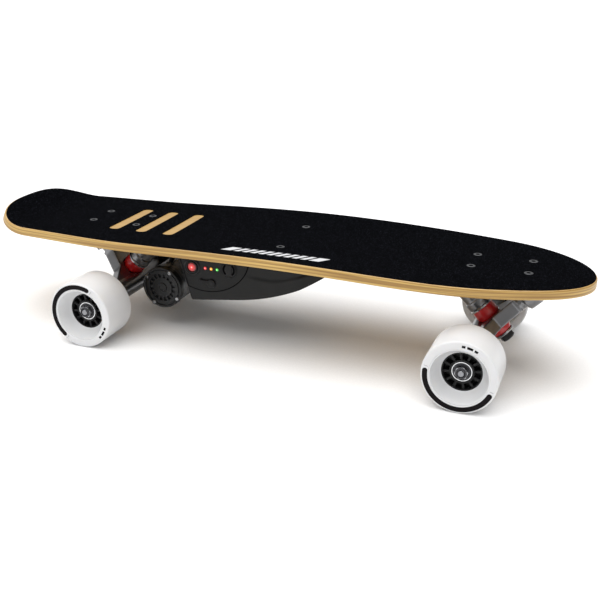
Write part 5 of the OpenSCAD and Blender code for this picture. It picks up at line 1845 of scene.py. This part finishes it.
@dataclass
class Studio:
    """Floor, lights and the camera."""

    position: Point = (0.3831, -0.9431, 0.4422)
    azimuth: float = 20.72
    elevation: float = 21.58
    roll: float = 0.31
    lens: float = 53.25
    world: float = 0.36
    sun: float = 3.5
    sun_from: Point = (-0.10, -0.08, 1.0)
    lights: list[tuple[Point, float, float]] = field(default_factory=lambda: [
        ((-1.1, -1.5, 1.0), 1.0, 4.0),
        ((1.3, -1.1, 0.9), 0.9, 2.0),
    ])

    def build_camera(self) -> None:
        """Puts the camera at its place and angle."""
        az, el, roll = (math.radians(v) for v in (self.azimuth, self.elevation, self.roll))
        ahead = Vector((-math.sin(az) * math.cos(el), math.cos(az) * math.cos(el), -math.sin(el)))
        right = Vector((math.cos(az), math.sin(az), 0))
        up = right.cross(ahead)
        right, up = (right * math.cos(roll) + up * math.sin(roll),
                     up * math.cos(roll) - right * math.sin(roll))
        data = bpy.data.cameras.new("camera")
        data.lens = self.lens
        data.sensor_width = 36.0
        camera = bpy.data.objects.new("camera", data)
        turn = Matrix((right, up, -ahead)).transposed().to_4x4()
        camera.matrix_world = Matrix.Translation(self.position) @ turn
        bpy.context.scene.collection.objects.link(camera)
        bpy.context.scene.camera = camera

    def build_lights(self) -> None:
        """Large soft lamps, aimed at the board, and a pale surround."""
        for i, (place, size, power) in enumerate(self.lights):
            data = bpy.data.lights.new(f"softbox_{i}", "AREA")
            data.shape = "DISK"
            data.size = size
            data.energy = power
            lamp = bpy.data.objects.new(f"softbox_{i}", data)
            lamp.location = place
            aim = Vector((0, 0, 0.06)) - Vector(place)
            lamp.rotation_euler = aim.to_track_quat("-Z", "Y").to_euler()
            bpy.context.scene.collection.objects.link(lamp)
        data = bpy.data.lights.new("top_light", "SUN")
        data.energy = self.sun
        data.angle = math.radians(80)
        lamp = bpy.data.objects.new("top_light", data)
        lamp.rotation_euler = (-Vector(self.sun_from)).to_track_quat("-Z", "Y").to_euler()
        bpy.context.scene.collection.objects.link(lamp)
        world = bpy.data.worlds.new("surround")
        world.use_nodes = True
        tree = world.node_tree
        back = tree.nodes["Background"]
        back.inputs["Color"].default_value = (1.0, 1.0, 1.0, 1.0)
        seen = tree.nodes.new("ShaderNodeLightPath")
        level = tree.nodes.new("ShaderNodeMapRange")
        level.inputs["To Min"].default_value = self.world
        level.inputs["To Max"].default_value = 1.0
        tree.links.new(seen.outputs["Is Camera Ray"], level.inputs["Value"])
        tree.links.new(level.outputs["Result"], back.inputs["Strength"])
        bpy.context.scene.world = world
        bpy.context.scene.view_settings.view_transform = "Standard"

    def build_floor(self) -> None:
        """Pale floor under the wheels."""
        reach = 60.0
        verts = [(x * reach, y * reach, -0.2 * MM) for x, y in ((-1, -1), (1, -1), (1, 1), (-1, 1))]
        mesh = bpy.data.meshes.new("floor")
        mesh.from_pydata(verts, [], [(0, 1, 2, 3)])
        floor = add_object("floor", mesh)
        FINISHES["floor_paint"] = Plain((0.93, 0.93, 0.93), 0.8)
        dressed(floor, "floor_paint")

    def build(self) -> None:
        """Builds the studio."""
        self.build_camera()
        self.build_lights()
        self.build_floor()


def paint_frame() -> None:
    """Gives every CAD node that still shows its slot's finish."""
    for entry in frame["record"]["subparts"]:
        node = frame["nodes"][entry["node"]]
        paint = material(entry["material_slot"])
        if node.material_slots:
            for place in node.material_slots:
                place.material = paint
        else:
            node.data.materials.append(paint)


def main() -> None:
    """Builds the scene's pieces in order."""
    logging.basicConfig(level=logging.INFO, format="%(name)s: %(message)s")
    paint_frame()
    Studio().build()
    Deck().build()
    nuts: dict[str, list[bpy.types.Object]] = {"front": [], "rear": []}
    stripes = {("front", -1): 255.0, ("rear", -1): 149.0, ("front", 1): 60.0, ("rear", 1): 300.0}
    for (end, side), at in stripes.items():
        nuts[end].append(Wheel(end, side, at).build())
    for end, pair in nuts.items():
        rides(joined(f"{end}_nyloc_nuts", pair), f"{end}_hanger_body", f"{end}_axle_nuts",
              slot="zinc_steel")
    kingpin_nuts, cups = zip(*(Truck(end).build() for end in ("front", "rear")))
    rides(joined("kingpin_locknuts", kingpin_nuts), "deck_body", "kingpin_nuts", slot="nut_black")
    rides(joined("bushing_cups", cups), "deck_body", "cup_washers", slot="zinc_steel")
    Drive().build()
    Housing().build()


if __name__ == "__main__":
    main()
